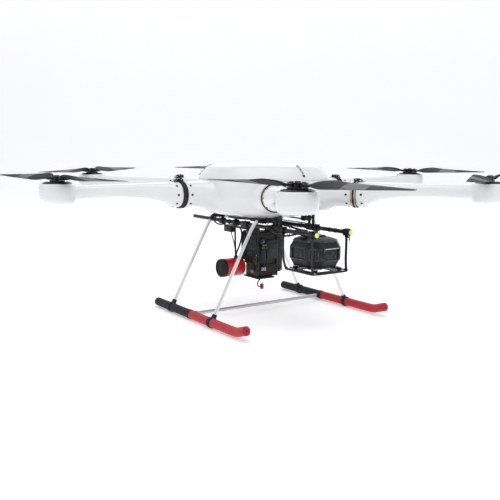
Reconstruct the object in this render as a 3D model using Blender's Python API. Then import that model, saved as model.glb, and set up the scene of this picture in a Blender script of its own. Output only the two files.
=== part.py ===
"""Six-arm survey drone with folding propellers, skid landing gear and two payloads
hung from belly rails.

Frame: metres, +Z up, front towards -Y, origin at the centre of the belly's flat underside.
Lengths below are in millimetres and are turned into metres when a mesh is made or placed.
"""

import math

import bmesh
import bpy
from mathutils import Matrix, Vector

# ---------------------------------------------------------------- shared dimensions
MM = 0.001
GAP = 0.4  # left between neighbouring pieces
FIT = 0.6  # radial slack of a bore round a rail or skid tube
LOOSE_FIT = 0.7  # the same round a leg or a blade bolt
SIDES_X = (-1, 1)  # left, right

ARM_R = 820.0  # body centre to motor axis
PROP_Z = 160.0  # propeller plane above the belly
# Name, direction of the arm, blade line at rest (degrees), and turning sense:
# 1 is anticlockwise seen from above.
ARMS = [
    ("left", 180.0, -75.7, -1),
    ("rear_left", 120.0, 31.6, 1),
    ("rear_right", 60.0, 150.0, -1),
    ("right", 0.0, -81.1, 1),
    ("front_right", 300.0, 206.4, -1),
    ("front_left", 240.0, -80.0, 1),
]

SOCKET_Z = 94.5  # axis of the arm sockets
RING_IN, RING_OUT = 360.0, 378.0  # the lock ring's ends, from the body centre
SEAM = 369.0  # where socket and arm meet inside the ring
SOCKET_SIDES = 20

BODY_TOP = 144.0

RAIL_X, RAIL_Z, RAIL_R = 77.0, -30.0, 7.5

SKID_X, SKID_Z = 320.6, -354.0
FOAM_R = 16.3
LEG_Y = (-136.0, 155.0)
LEG_R = 6.3
LEG_TOP = -3.0  # height of the legs' level ends

# ---------------------------------------------------------------- mesh helpers


def mesh_of(name, points, faces):
    mesh = bpy.data.meshes.new(name)
    mesh.from_pydata([Vector(p) * MM for p in points], [], faces)
    bm = bmesh.new()
    bm.from_mesh(mesh)
    bmesh.ops.remove_doubles(bm, verts=bm.verts, dist=1e-6)
    bmesh.ops.recalc_face_normals(bm, faces=bm.faces)
    bm.to_mesh(mesh)
    bm.free()
    return mesh


def unit_circle(n, phase=0.0):
    """n pairs of cosine and sine. phase is in steps."""
    angles = [2 * math.pi * (i + phase) / n for i in range(n)]
    return [(math.cos(a), math.sin(a)) for a in angles]


def loft(name, rings, closed=False):
    """A skin through rings of the same count. closed joins the last ring to the first;
    otherwise each end is filled."""
    n = len(rings[0])
    points = [p for ring in rings for p in ring]
    faces = []
    for k in range(len(rings) if closed else len(rings) - 1):
        low = k * n
        high = (k + 1) % len(rings) * n
        for i in range(n):
            j = (i + 1) % n
            faces.append((low + i, low + j, high + j, high + i))
    if not closed:
        faces.append(tuple(range(n))[::-1])
        faces.append(tuple(range(len(points) - n, len(points))))
    return mesh_of(name, points, faces)


def lathe(name, profile, n, phase=0.0):
    """A closed profile of (radius, z) turned about Z. Points on the axis become one vertex."""
    points, rows = [], []
    for r, z in profile:
        if r < 1e-6:
            rows.append([len(points)] * n)
            points.append((0.0, 0.0, z))
            continue
        rows.append(list(range(len(points), len(points) + n)))
        points += [(r * c, r * s, z) for c, s in unit_circle(n, phase)]
    faces = []
    for k in range(len(rows)):
        low, high = rows[k], rows[(k + 1) % len(rows)]
        for i in range(n):
            j = (i + 1) % n
            face = []
            for v in (low[i], low[j], high[j], high[i]):
                if v not in face:
                    face.append(v)
            if len(face) > 2:
                faces.append(tuple(face))
    return mesh_of(name, points, faces)


def turned_x(name, rows, n, closed=False):
    """Circles round the X axis, given as (x, radius)."""
    rings = [[(x, r * c, r * s) for c, s in unit_circle(n)] for x, r in rows]
    return loft(name, rings, closed)


def ovals_x(name, rows, n):
    """Oval sections along X, given as (x, top, bottom, half width)."""
    rings = []
    for x, top, bottom, half in rows:
        middle, tall = (top + bottom) / 2, (top - bottom) / 2
        rings.append([(x, half * c, middle + tall * s) for c, s in unit_circle(n)])
    return loft(name, rings)


def circle(centre, axis, radius, n):
    """n points round centre, square to axis."""
    axis = axis.normalized()
    side = axis.cross(Vector((0, 0, 1)))
    if side.length < 1e-3:
        side = Vector((1, 0, 0))
    side.normalize()
    up = side.cross(axis)
    return [centre + radius * (c * side + s * up) for c, s in unit_circle(n, 0.5)]


def sweep(name, path, radius, n, first_radius=None, last_radius=None):
    """A round bar along a path of points. Its two ends may have radii of their own."""
    path = [Vector(p) for p in path]
    last = len(path) - 1
    radii = [first_radius or radius] + [radius] * (last - 1) + [last_radius or radius]
    rings = []
    for k, p in enumerate(path):
        before = path[max(k - 1, 0)]
        after = path[min(k + 1, last)]
        if k in (0, last):
            axis = after - before
        else:
            axis = (p - before).normalized() + (after - p).normalized()
        rings.append(circle(p, axis, radii[k], n))
    return loft(name, rings)


def rod(name, start, end, radius, n, end_radius=None):
    return sweep(name, [start, end], radius, n, last_radius=end_radius)


def slab(name, outline, bottom, top):
    return loft(name, [[(x, y, z) for x, y in outline] for z in (bottom, top)])


def octagon(x0, x1, y0, y1, corner):
    """A rectangle with its corners cut off."""
    c = corner
    return [(x0 + c, y0), (x1 - c, y0), (x1, y0 + c), (x1, y1 - c),
            (x1 - c, y1), (x0 + c, y1), (x0, y1 - c), (x0, y0 + c)]


def box(name, start, end, chamfer=0.0):
    """A box between two opposite corners."""
    (x0, x1), (y0, y1), (z0, z1) = (sorted(pair) for pair in zip(start, end))
    if not chamfer:
        return slab(name, [(x0, y0), (x1, y0), (x1, y1), (x0, y1)], z0, z1)
    bevel = chamfer * 0.6  # the top and bottom edges are cut back less than the corners
    rings = []
    for inset, z in ((bevel, z0), (0, z0 + bevel), (0, z1 - bevel), (bevel, z1)):
        outline = octagon(x0 + inset, x1 - inset, y0 + inset, y1 - inset, chamfer)
        rings.append([(x, y, z) for x, y in outline])
    return loft(name, rings)


def post(x, y, half, bottom, top):
    """A square upright."""
    return box("post", (x - half, y - half, bottom), (x + half, y + half, top))


# ---------------------------------------------------------------- booleans and transforms
JOIN, CUT = "UNION", "DIFFERENCE"


def helper(mesh):
    obj = bpy.data.objects.new("tmp_" + mesh.name, mesh)
    bpy.context.scene.collection.objects.link(obj)
    obj.hide_render = True
    obj.display_type = "WIRE"
    return obj


def combine(name, base, steps):
    """Apply steps of (operation, mesh) to the base mesh in turn."""
    target = helper(base)
    for operation, mesh in steps:
        other = helper(mesh)
        mod = target.modifiers.new("bool", "BOOLEAN")
        mod.operation = operation
        mod.object = other
        mod.solver = "EXACT"
        bpy.context.view_layer.update()
        graph = bpy.context.evaluated_depsgraph_get()
        made = bpy.data.meshes.new_from_object(target.evaluated_get(graph))
        target.modifiers.clear()
        target.data = made
        bpy.data.objects.remove(other, do_unlink=True)
    result = target.data
    bpy.data.objects.remove(target, do_unlink=True)
    bm = bmesh.new()
    bm.from_mesh(result)
    bmesh.ops.remove_doubles(bm, verts=bm.verts, dist=5e-6)
    bmesh.ops.dissolve_degenerate(bm, edges=bm.edges, dist=5e-6)
    bmesh.ops.triangulate(bm, faces=bm.faces)
    bm.to_mesh(result)
    bm.free()
    result.name = name
    return result


def shift(x, y, z):
    return Matrix.Translation((x, y, z))


def turn(degrees):
    return Matrix.Rotation(math.radians(degrees), 4, "Z")


def in_metres(matrix):
    """A copy of a matrix whose translation is in millimetres."""
    copy = matrix.copy()
    copy.translation = copy.translation * MM
    return copy


def moved(mesh, matrix):
    """A copy of the mesh under a matrix in millimetres."""
    copy = mesh.copy()
    copy.transform(in_metres(matrix))
    if matrix.determinant() < 0:
        copy.flip_normals()
    return copy


# ---------------------------------------------------------------- materials and placing
SHARP_ANGLE = 35.0  # degrees; steeper edges are shaded sharp
# Base colour, metallic, roughness.
PAINTS = {
    "shell_white": ((0.86, 0.87, 0.88), 0.0, 0.28),
    "ring_black": ((0.025, 0.025, 0.028), 0.3, 0.4),
    "ring_gold": ((0.62, 0.52, 0.33), 0.8, 0.35),
    "motor_black": ((0.02, 0.02, 0.022), 0.6, 0.4),
    "copper": ((0.55, 0.27, 0.12), 0.9, 0.4),
    "carbon": ((0.045, 0.047, 0.05), 0.1, 0.42),
    "alloy": ((0.72, 0.73, 0.74), 1.0, 0.3),
    "foam_red": ((0.58, 0.025, 0.03), 0.0, 0.75),
    "foam_black": ((0.03, 0.03, 0.03), 0.0, 0.85),
    "plate_black": ((0.02, 0.02, 0.02), 0.2, 0.5),
    "case_grey": ((0.028, 0.03, 0.034), 0.0, 0.45),
    "drum_red": ((0.62, 0.02, 0.025), 0.0, 0.35),
    "battery": ((0.05, 0.055, 0.06), 0.0, 0.5),
    "connector_red": ((0.4, 0.02, 0.04), 0.0, 0.4),
}


def make_material(name, paint):
    color, metallic, roughness = PAINTS[paint]
    mat = bpy.data.materials.new(name)
    mat.use_nodes = True
    shader = mat.node_tree.nodes["Principled BSDF"]
    shader.inputs["Base Color"].default_value = (*color, 1.0)
    shader.inputs["Metallic"].default_value = metallic
    shader.inputs["Roughness"].default_value = roughness
    mat.diffuse_color = (*color, 1.0)
    return mat


def place(name, mesh, paint, matrix=None):
    """A visible piece with its own material, under a matrix in millimetres."""
    obj = bpy.data.objects.new(name, mesh)
    bpy.context.scene.collection.objects.link(obj)
    if matrix is not None:
        obj.matrix_world = in_metres(matrix)
    # Several pieces may share a mesh, which is shaded once.
    if not mesh.get("shaded"):
        mesh.polygons.foreach_set("use_smooth", [True] * len(mesh.polygons))
        mesh.set_sharp_from_angle(angle=math.radians(SHARP_ANGLE))
        mesh["shaded"] = True
    if not mesh.materials:
        mesh.materials.append(None)
    obj.material_slots[0].link = "OBJECT"
    obj.material_slots[0].material = make_material(name + "_mat", paint)


# ---------------------------------------------------------------- fuselage
BODY_SIDES = 30
BODY_R = 256.0
OPENING_R = 236.0
BELLY_WALL = 3.0
CUT_TOP = 160.0  # the hollow runs on past the rim
# (radius, z) of the outer drum from the belly up, then of the inside.
BODY_OUTER = [
    (0, 0), (100, 0), (130, 3.5), (160, 8), (190, 13.5), (215, 20.5), (236, 31),
    (249, 49), (BODY_R, 80), (BODY_R, 125), (249, BODY_TOP), (0, BODY_TOP),
]
BODY_INNER = [
    (0, BELLY_WALL), (100, BELLY_WALL), (129.5, 6.6), (159.3, 11.1), (188.7, 16.6),
    (213, 23.6), (233, 33.6), (245.6, 51), (252.5, 81), (252.5, 125),
    (OPENING_R, 137), (OPENING_R, CUT_TOP), (0, CUT_TOP),
]
SOCKET_R = 45.5
SPIGOT_R = 43.5  # the part inside the lock ring
SOCKET_BORE_R = 38.0
# Arm sockets: distance from the centre, top, bottom, half width.
# Their tops stay under the hatch's rim.
SOCKET_SKIN = [
    (222, 141.0, 26.0, 60.0),
    (256, 141.0, 30.0, 57.0),
    (280, 140.8, 41.0, 51.0),
    (304, SOCKET_Z + 46, SOCKET_Z - 46, 46.5),
    (RING_IN - GAP, SOCKET_Z + SOCKET_R, SOCKET_Z - SOCKET_R, SOCKET_R),
    (RING_IN - GAP, SOCKET_Z + SPIGOT_R, SOCKET_Z - SPIGOT_R, SPIGOT_R),
    (SEAM - GAP, SOCKET_Z + SPIGOT_R, SOCKET_Z - SPIGOT_R, SPIGOT_R),
]
SOCKET_BORE = [
    (226, 132.0, 58.0, SOCKET_BORE_R),
    (256, 132.5, 57.0, SOCKET_BORE_R),
    (SEAM + 10, SOCKET_Z + SOCKET_BORE_R, SOCKET_Z - SOCKET_BORE_R, SOCKET_BORE_R),
]
# (radius, z above the rim) of the hatch's outside from the edge in, then its inside back out.
HATCH_SKIN = [
    (249.5, 0), (249, 6), (232, 30), (211, 48), (188, 55), (100, 58.2), (0, 58.2),
    (0, 55.4), (100, 55), (186, 51.8), (208, 45.2), (228.5, 27.5), (244, 5), (244, 0),
]


def make_fuselage():
    sockets = []
    bores = []
    for _, angle, _, _ in ARMS:
        socket = ovals_x("socket", SOCKET_SKIN, SOCKET_SIDES)
        sockets.append((JOIN, moved(socket, turn(angle))))
        bores.append((CUT, moved(ovals_x("bore", SOCKET_BORE, 12), turn(angle))))
    inside = (CUT, lathe("inside", BODY_INNER, BODY_SIDES))
    drum = lathe("drum", BODY_OUTER, BODY_SIDES)
    return combine("fuselage_shell", drum, sockets + [inside] + bores)


# ---------------------------------------------------------------- inside the fuselage
DECK_R, DECK_BOTTOM, DECK_TOP = 172, 56, 59
STANDOFF_RING_R = 135  # body centre to each standoff


def make_deck():
    profile = [(0, DECK_BOTTOM), (DECK_R, DECK_BOTTOM), (DECK_R, DECK_TOP), (0, DECK_TOP)]
    steps = []
    for i in range(4):
        a = math.radians(45 + 90 * i)
        x, y = STANDOFF_RING_R * math.cos(a), STANDOFF_RING_R * math.sin(a)
        steps.append((JOIN, rod("standoff", (x, y, 9.0), (x, y, DECK_BOTTOM + 1), 6.0, 6)))
    steps.append((CUT, rod("cable_hole", (0, 118, 40), (0, 118, 70), 16.0, 8)))
    return combine("avionics_deck", lathe("deck", profile, 20), steps)


def place_body():
    place("fuselage_shell", make_fuselage(), "shell_white")
    hatch = lathe("top_hatch", HATCH_SKIN, BODY_SIDES)
    place("top_hatch", hatch, "shell_white", shift(0, 0, BODY_TOP + GAP))
    place("avionics_deck", make_deck(), "carbon")
    floor = DECK_TOP + GAP
    controller = box("fc", (-34, -140, floor), (34, -78, 84))
    place("flight_controller", controller, "plate_black")
    place("battery_pack", box("battery", (-90, -66, floor), (90, 92, 130)), "battery")


# ---------------------------------------------------------------- arm, along +X
# Distance from the centre, top and bottom from the propeller plane, half width.
ARM_SKIN = [
    (SEAM + GAP, -22.0, -109.0, 43.5),
    (RING_OUT + GAP, -22.0, -109.0, 43.5),
    (RING_OUT + GAP, -20.0, -111.0, 45.5),
    (396, -20.2, -109.0, 44.5),
    (427, -20.8, -95.0, 38.5),
    (460, -21.4, -83.0, 33.0),
    (526, -22.0, -71.5, 28.0),
    (640, -22.5, -66.5, 27.0),
    (712, -22.5, -68.0, 30.0),
    (760, -21.0, -70.5, 39.0),
    (790, -20.0, -71.0, 45.0),
]
ARM_WALL = 6.0
# The hollow starts beyond the arm's open end and follows some of its sections.
HOLLOW_ROWS = [(SEAM - 20, *ARM_SKIN[0][1:]), ARM_SKIN[3], ARM_SKIN[5], ARM_SKIN[7]]
HOLLOW_END = (785, -28.0, -62.0, 20.0)
OVAL_POWER = 0.86  # below 1 an oval is squarer than an ellipse

POD_R = 59.0
# (radius, z from the propeller plane) of the motor pod.
POD_SKIN = [
    (0, -79.0), (46, -79.0), (56, -69.0), (POD_R, -50.0), (POD_R, -28.0), (55, -15.0), (0, -15.0),
]
POD_TILT_TOP = -50  # the pod is sheared below this height
POD_TILT = 0.085  # rise per length outwards
WELL_R, WELL_Z = 49.5, -52.0  # the motor's well and its floor


def arm_section(x, top, bottom, half, n, inset=0.0):
    """A circle where the section is about as tall as wide, otherwise a squarish oval."""
    middle = (top + bottom) / 2 + PROP_Z
    tall = (top - bottom) / 2 - inset
    wide = half - inset
    power = 1.0 if abs((top - bottom) / 2 - half) < 1.0 else OVAL_POWER
    ring = []
    for c, s in unit_circle(n):
        y = wide * math.copysign(abs(c) ** power, c)
        ring.append((x, y, middle + tall * math.copysign(abs(s) ** power, s)))
    return ring


def make_pod():
    pod = lathe("pod", [(r, z + PROP_Z) for r, z in POD_SKIN], 18)
    for v in pod.vertices:
        if v.co.z < (PROP_Z + POD_TILT_TOP) * MM:
            v.co.z += v.co.x * POD_TILT
    return moved(pod, shift(ARM_R, 0, 0))


def make_arm():
    skin = loft("arm_skin", [arm_section(*row, 14) for row in ARM_SKIN])
    sections = [arm_section(*row, 8, inset=ARM_WALL) for row in HOLLOW_ROWS]
    hollow = loft("hollow", sections + [arm_section(*HOLLOW_END, 8)])
    floor, top = WELL_Z + PROP_Z, PROP_Z + 5
    well = lathe("well", [(0, floor), (WELL_R, floor), (WELL_R, top), (0, top)], 16, 0.5)
    well = moved(well, shift(ARM_R, 0, 0))
    return combine("arm", skin, [(JOIN, make_pod()), (CUT, hollow), (CUT, well)])


# ---------------------------------------------------------------- lock ring
RING_BORE, RING_R = 44.9, 50.5
LEVER_BASE = RING_R - 2.6
# The lever on top: x, half width at its base and at its top, height above the band.
LEVER_ROWS = [(-8, 12, 12, 5), (0, 12, 11, 7.5), (9, 12, 11, 6), (22, 10, 9, 1)]


def make_ring():
    """A band round the X axis, centred on its origin."""
    half = (RING_OUT - RING_IN) / 2
    rows = [(-half, RING_R), (half, RING_R), (half, RING_BORE), (-half, RING_BORE)]
    band = turned_x("band", rows, SOCKET_SIDES, closed=True)
    rings = []
    for x, base, top, high in LEVER_ROWS:
        z = RING_R + high
        rings.append([(x, -base, LEVER_BASE), (x, base, LEVER_BASE), (x, top, z), (x, -top, z)])
    return combine("lock_ring", band, [(JOIN, loft("lever", rings))])


# ---------------------------------------------------------------- motor, turned about Z
# (radius, z from the propeller plane).
STATOR_SKIN = [
    (7, WELL_Z + GAP), (41, WELL_Z + GAP), (41, -46), (38, -44), (38, -15.8), (7, -15.8),
]
BELL_SKIN = [
    (0, -13.8), (42, -13.8), (42, -43), (47, -43), (47.5, -14.8), (44, -11.6), (0, -10.6),
]
BOLT_X, BOLT_R = 22.0, 3.0
HUB_PLATE_R = 12.5  # round each bolt


def hub_plate(bottom, top):
    """A plate with round ends about the two bolts."""
    outline = []
    for c, s in unit_circle(10, 0.5):
        outline.append((math.copysign(BOLT_X, c) + HUB_PLATE_R * c, HUB_PLATE_R * s))
    return slab("plate", outline, bottom, top)


def make_rotor():
    steps = [
        (JOIN, rod("shaft", (0, 0, -46), (0, 0, -12), 5.0, 8)),
        (JOIN, hub_plate(-12.0, -5.6)),
        (JOIN, hub_plate(5.6, 8.2)),
        (JOIN, rod("spine", (0, 0, -11), (0, 0, 12), 8.0, 8, 7.0)),
    ]
    for side in SIDES_X:
        x = side * BOLT_X
        steps.append((JOIN, rod("bolt", (x, 0, -8), (x, 0, 10.5), BOLT_R, 6)))
    return combine("rotor", lathe("bell", BELL_SKIN, 14), steps)


# ---------------------------------------------------------------- propeller blade
# Distance from the bolt, chord, pitch in degrees, thickness,
# how far the leading edge is ahead of the bolt line.
BLADE_ROWS = [
    (-10.5, 6.0, 0.0, 8.8, 3.0),
    (-7.0, 16.0, 0.0, 8.8, 8.0),
    (0.0, 21.0, 0.0, 8.8, 10.5),
    (9.0, 22.0, 1.0, 8.8, 11.5),
    (24.0, 30.0, 14.0, 7.6, 19.0),
    (45.0, 50.0, 20.0, 6.4, 31.5),
    (75.0, 64.0, 20.0, 5.2, 39.0),
    (115.0, 62.0, 16.0, 4.4, 36.0),
    (160.0, 55.0, 14.0, 3.6, 31.0),
    (204.0, 47.0, 13.0, 3.0, 26.0),
    (248.0, 37.0, 11.5, 2.4, 20.5),
    (293.0, 26.0, 9.5, 1.9, 14.5),
    (326.0, 17.0, 8.5, 1.4, 9.5),
    (333.0, 12.0, 8.0, 1.2, 7.0),
]
# (share of chord behind the leading edge, share of thickness) round a section.
ROOT_SECTION = [(0.0, 0.5), (0.0, -0.5), (0.5, -0.5), (1.0, -0.5), (1.0, 0.5), (0.5, 0.5)]
WING_SECTION = [(0.0, 0.18), (0.0, -0.18), (0.4, -0.36), (1.0, -0.08), (1.0, 0.08), (0.4, 0.64)]
ROOT_END = 20  # root sections lie inside this distance
STEP_START, STEP_LENGTH, STEP_RISE = 12, 22, 2.2  # the blade steps up past its root
CONE_START, CONE_SLOPE = 24, 0.004  # and then climbs slightly to its tip


def make_blade(turn_sign):
    """A blade along +X from its bolt at the origin. turn_sign 1 leads towards +Y."""
    rings = []
    for x, chord, pitch, thick, lead in BLADE_ROWS:
        cos_pitch, sin_pitch = math.cos(math.radians(pitch)), math.sin(math.radians(pitch))
        step = STEP_RISE * min(1.0, max(0.0, (x - STEP_START) / STEP_LENGTH))
        cone = max(0.0, x - CONE_START) * CONE_SLOPE
        ring = []
        for back, up in ROOT_SECTION if x < ROOT_END else WING_SECTION:
            across = lead - back * chord
            high = up * thick
            # The leading edge is the high side.
            y = across * cos_pitch - high * sin_pitch
            z = across * sin_pitch + high * cos_pitch
            ring.append((x, turn_sign * y, z + step + cone))
        rings.append(ring)
    hole = rod("hole", (0, 0, -12), (0, 0, 12), BOLT_R + LOOSE_FIT, 8)
    return combine("blade", loft("blade", rings), [(CUT, hole)])


def place_arms():
    arm, ring, rotor = make_arm(), make_ring(), make_rotor()
    stator = lathe("stator", STATOR_SKIN, 12)
    blades = {sign: make_blade(sign) for sign in (1, -1)}
    for label, angle, rest, sign in ARMS:
        place("arm_" + label, arm, "shell_white", turn(angle))
        ring_at = turn(angle) @ shift((RING_IN + RING_OUT) / 2, 0, SOCKET_Z)
        ring_paint = "ring_gold" if "front" in label else "ring_black"
        place("lock_ring_" + label, ring, ring_paint, ring_at)
        motor_at = turn(angle) @ shift(ARM_R, 0, PROP_Z)
        place("motor_stator_" + label, stator, "copper", motor_at)
        # The blade line is measured from the body's X axis, not the arm's.
        rotor_at = Matrix.Translation(motor_at.translation) @ turn(rest)
        place("rotor_" + label, rotor, "motor_black", rotor_at)
        for letter, flip in (("a", 0.0), ("b", 180.0)):
            blade_at = rotor_at @ turn(flip) @ shift(BOLT_X, 0, 0)
            place(f"blade_{label}_{letter}", blades[sign], "carbon", blade_at)


# ---------------------------------------------------------------- payload rails
RAIL_FRONT, RAIL_REAR = -412.0, 390.0
RAIL_BORE_R = RAIL_R - 1.2
CAP_R = 10  # the larger cap on the front end
CAP_END = RAIL_FRONT + 8
# (y, radius): the outside from the front cap to the open rear end, then the bore to its floor.
RAIL_SKIN = [
    (RAIL_FRONT, 8.5), (RAIL_FRONT + 1.5, CAP_R), (CAP_END, CAP_R), (CAP_END, RAIL_R),
    (RAIL_REAR, RAIL_R), (RAIL_REAR, RAIL_BORE_R), (RAIL_FRONT + 12, RAIL_BORE_R),
]
RAIL_POSTS = [(-210.0, 19.6), (-188.0, 14.0)]  # y, top above the belly
CLAMP_HALF_WIDTH = 11


def make_rail():
    """Along Y, its origin on its axis at y = 0."""
    rings = [[(r * c, y, r * s) for c, s in unit_circle(12)] for y, r in RAIL_SKIN]
    steps = [(JOIN, box("block", (-10, -216, -11), (10, -180, 10)))]
    for y, top in RAIL_POSTS:
        steps.append((JOIN, post(0, y, 4, 4, top - RAIL_Z)))
    steps.append((CUT, rod("bore", (0, -240, 0), (0, -170, 0), RAIL_BORE_R, 12)))
    return combine("rail", loft("rail", rings), steps)


def clamp_steps(x, y, length, half_height, bore_reach):
    """A block round a rail, and the rail's bore reaching both ways from y."""
    start = (x - CLAMP_HALF_WIDTH, y - length / 2, RAIL_Z - half_height)
    end = (x + CLAMP_HALF_WIDTH, y + length / 2, RAIL_Z + half_height)
    return [(JOIN, box("clamp", start, end)), (CUT, rail_bore(x, y, bore_reach))]


def rail_bore(x, y, reach):
    return rod("rail_bore", (x, y - reach, RAIL_Z), (x, y + reach, RAIL_Z), RAIL_R + FIT, 10)


# ---------------------------------------------------------------- payload plate
PLATE_TOP, PLATE_THICK = -2.4, 9.0
PLATE_Y, PLATE_HALF_X, PLATE_HALF_Y = 48, 104, 118  # centre and half axes of the oval
HANGER_Y = (72.0, 168.0)
STRAP_INNER_Y = (-22, 96)  # where the front and rear leg straps reach in to


def make_payload_plate():
    outline = [(PLATE_HALF_X * c, PLATE_Y + PLATE_HALF_Y * s) for c, s in unit_circle(16, 0.5)]
    base = slab("plate", outline, PLATE_TOP - PLATE_THICK, PLATE_TOP)
    steps = [(CUT, box("window", (-46, -30, -20), (46, 98, 20)))]
    for side in SIDES_X:
        x = side * RAIL_X
        for y in HANGER_Y:
            steps.append((JOIN, post(x, y, 4.5, RAIL_Z + 4, PLATE_TOP - 1)))
            steps += clamp_steps(x, y, 18, 11.5, 20)
        for y, inner in zip(LEG_Y, STRAP_INNER_Y):
            socket = box("socket", (side * 86, y - 11, LEG_TOP - 10),
                         (side * 110, y + 11, LEG_TOP + 8.8))
            strap = box("strap", (side * 72, min(y, inner) - 6, PLATE_TOP - 4),
                        (side * 92, max(y, inner) + 12, PLATE_TOP - 0.3))
            bore = rod("leg_bore", (side * 92, y, LEG_TOP), (side * 130, y, LEG_TOP),
                       LEG_R + LOOSE_FIT, 8)
            steps += [(JOIN, socket), (JOIN, strap), (CUT, bore)]
    return combine("payload_plate", base, steps)


def place_rails():
    rail = make_rail()
    place("rail_left", rail, "carbon", shift(-RAIL_X, 0, RAIL_Z))
    place("rail_right", rail, "carbon", shift(RAIL_X, 0, RAIL_Z))
    place("payload_plate", make_payload_plate(), "plate_black")


# ---------------------------------------------------------------- landing gear
SKID_REAR, SKID_BEND, SKID_TIP_Y, SKID_TIP_RISE = 271.5, -290.0, -352.7, 19.0
SKID_TUBE_R = 6.0
SKID_BORE_R = SKID_TUBE_R + FIT
FOAM_TAPER = 3  # the foam's outer ends are this much smaller in radius
CROSS_Y = 12.5  # the cross tube, between front and rear foam
COLLAR_HALF = 7.3
COLLAR_SIDES = 14  # also of the foam and the saddles
FOAM_END = COLLAR_HALF + GAP  # from the cross tube's axis
KNEE = Vector((-150, 0, -30))
SADDLE_HALF = 8


def bent_path(rear):
    """Along a skid from y = rear to the end of its bend."""
    return [(0, rear, 0), (0, SKID_BEND + 14, 0.0), (0, SKID_BEND, 1.2), (0, SKID_BEND - 14, 4.2)]


def make_skid_tube():
    path = bent_path(SKID_REAR - 7) + [(0, SKID_BEND - 40, 12.2)]
    return sweep("skid_tube", path, SKID_TUBE_R, 8)


def make_foam_rear():
    path = [(0, SKID_REAR, 0), (0, SKID_REAR - 2.5, 0), (0, CROSS_Y + FOAM_END, 0)]
    solid = sweep("foam", path, FOAM_R, COLLAR_SIDES, first_radius=FOAM_R - FOAM_TAPER)
    bore = rod("foam_bore", (0, SKID_REAR - 6, 0), (0, CROSS_Y - 6, 0), SKID_BORE_R, 8)
    return combine("foam_rear", solid, [(CUT, bore)])


def make_foam_front():
    tip = [(0, SKID_TIP_Y + 3, SKID_TIP_RISE - 0.6), (0, SKID_TIP_Y, SKID_TIP_RISE)]
    path = bent_path(CROSS_Y - FOAM_END) + tip
    solid = sweep("foam", path, FOAM_R, COLLAR_SIDES, last_radius=FOAM_R - FOAM_TAPER)
    bore_path = bent_path(CROSS_Y + 6) + [(0, SKID_BEND - 42, 12.9)]
    bore = sweep("foam_bore", bore_path, SKID_BORE_R, 8)
    end_hole = rod("end_hole", (0, SKID_TIP_Y + 16, SKID_TIP_RISE - 4.5),
                   (0, SKID_TIP_Y - 8, SKID_TIP_RISE + 2.3), 3.0, 8)
    return combine("foam_front", solid, [(CUT, bore), (CUT, end_hole)])


def make_leg():
    """The left leg, in the plane y = 0 through its own foot."""
    foot = Vector((-SKID_X, 0, SKID_Z))
    upward = (KNEE - foot).normalized()
    path = [
        foot + upward * 17.2,
        KNEE - upward * 8,
        KNEE + Vector((6.6, 0, 9.0)),
        (-135, 0, -10.5),
        (-127, 0, LEG_TOP - 2.2),
        (-117, 0, LEG_TOP),
        (-95, 0, LEG_TOP),
    ]
    tube = sweep("leg_tube", path, LEG_R, 8)
    neck = rod("neck", foot + upward * 17, foot + upward * 31, LEG_R + 2.6, 8)
    saddle = rod("saddle", (-SKID_X, -SADDLE_HALF, SKID_Z), (-SKID_X, SADDLE_HALF, SKID_Z),
                 FOAM_R + 3.2, COLLAR_SIDES)
    bore = rod("saddle_bore", (-SKID_X, -12, SKID_Z), (-SKID_X, 12, SKID_Z),
               FOAM_R + 0.9, COLLAR_SIDES)
    return combine("leg", tube, [(JOIN, neck), (JOIN, saddle), (CUT, bore)])


def make_cross_tube():
    end = SKID_X - 9
    tube = rod("tube", (-end, CROSS_Y, SKID_Z), (end, CROSS_Y, SKID_Z), 7.0, 10)
    steps = []
    for side in SIDES_X:
        x = side * SKID_X
        collar = rod("collar", (x, CROSS_Y - COLLAR_HALF, SKID_Z),
                     (x, CROSS_Y + COLLAR_HALF, SKID_Z), FOAM_R + 1.5, COLLAR_SIDES)
        bore = rod("collar_bore", (x, CROSS_Y - 9, SKID_Z), (x, CROSS_Y + 9, SKID_Z),
                   SKID_BORE_R, 8)
        steps += [(JOIN, collar), (CUT, bore)]
    return combine("cross_tube", tube, steps)


def place_landing_gear():
    leg_left = make_leg()
    leg_right = moved(leg_left, Matrix.Scale(-1, 4, (1, 0, 0)))
    for y, label in zip(LEG_Y, ("front", "rear")):
        place(f"leg_{label}_left", leg_left, "alloy", shift(0, y, 0))
        place(f"leg_{label}_right", leg_right, "alloy", shift(0, y, 0))
    tube, foam_rear, foam_front = make_skid_tube(), make_foam_rear(), make_foam_front()
    for side, label in zip(SIDES_X, ("left", "right")):
        skid_at = shift(side * SKID_X, 0, SKID_Z)
        place("skid_tube_" + label, tube, "alloy", skid_at)
        place("foam_rear_" + label, foam_rear, "foam_black", skid_at)
        place("foam_front_" + label, foam_front, "foam_red", skid_at)
    place("cross_tube", make_cross_tube(), "alloy")


# ---------------------------------------------------------------- front payload
TRAY_Z = -166.0  # top of the tray
TRAY_REAR, TRAY_FRONT, TRAY_HALF_X = -244.0, -400.0, 81
# The straps' y at the rail and at the tray.
STRAPS = [(-228.0, TRAY_REAR - 5), (-388.0, TRAY_FRONT + 9)]
DAMPER_X, DAMPER_Y, DAMPER_REACH = 55.0, -326.0, 52  # the dampers' half spread and centre in y
CASE_Y = -313.0
CASE_HALF_X, CASE_HALF_Y, CASE_CORNER = 77.0, 87.0, 42.0
# Height, scale of the plan.
CASE_ROWS = [
    (TRAY_Z + 16.4, 0.85), (TRAY_Z + 22, 0.88), (TRAY_Z + 44, 1.0),
    (TRAY_Z + 88, 1.0), (TRAY_Z + 108, 0.87), (TRAY_Z + 118, 0.55),
]
POCKET_HALF, POCKET_BOTTOM, POCKET_TOP = 30, TRAY_Z + 46, TRAY_Z + 83


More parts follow.
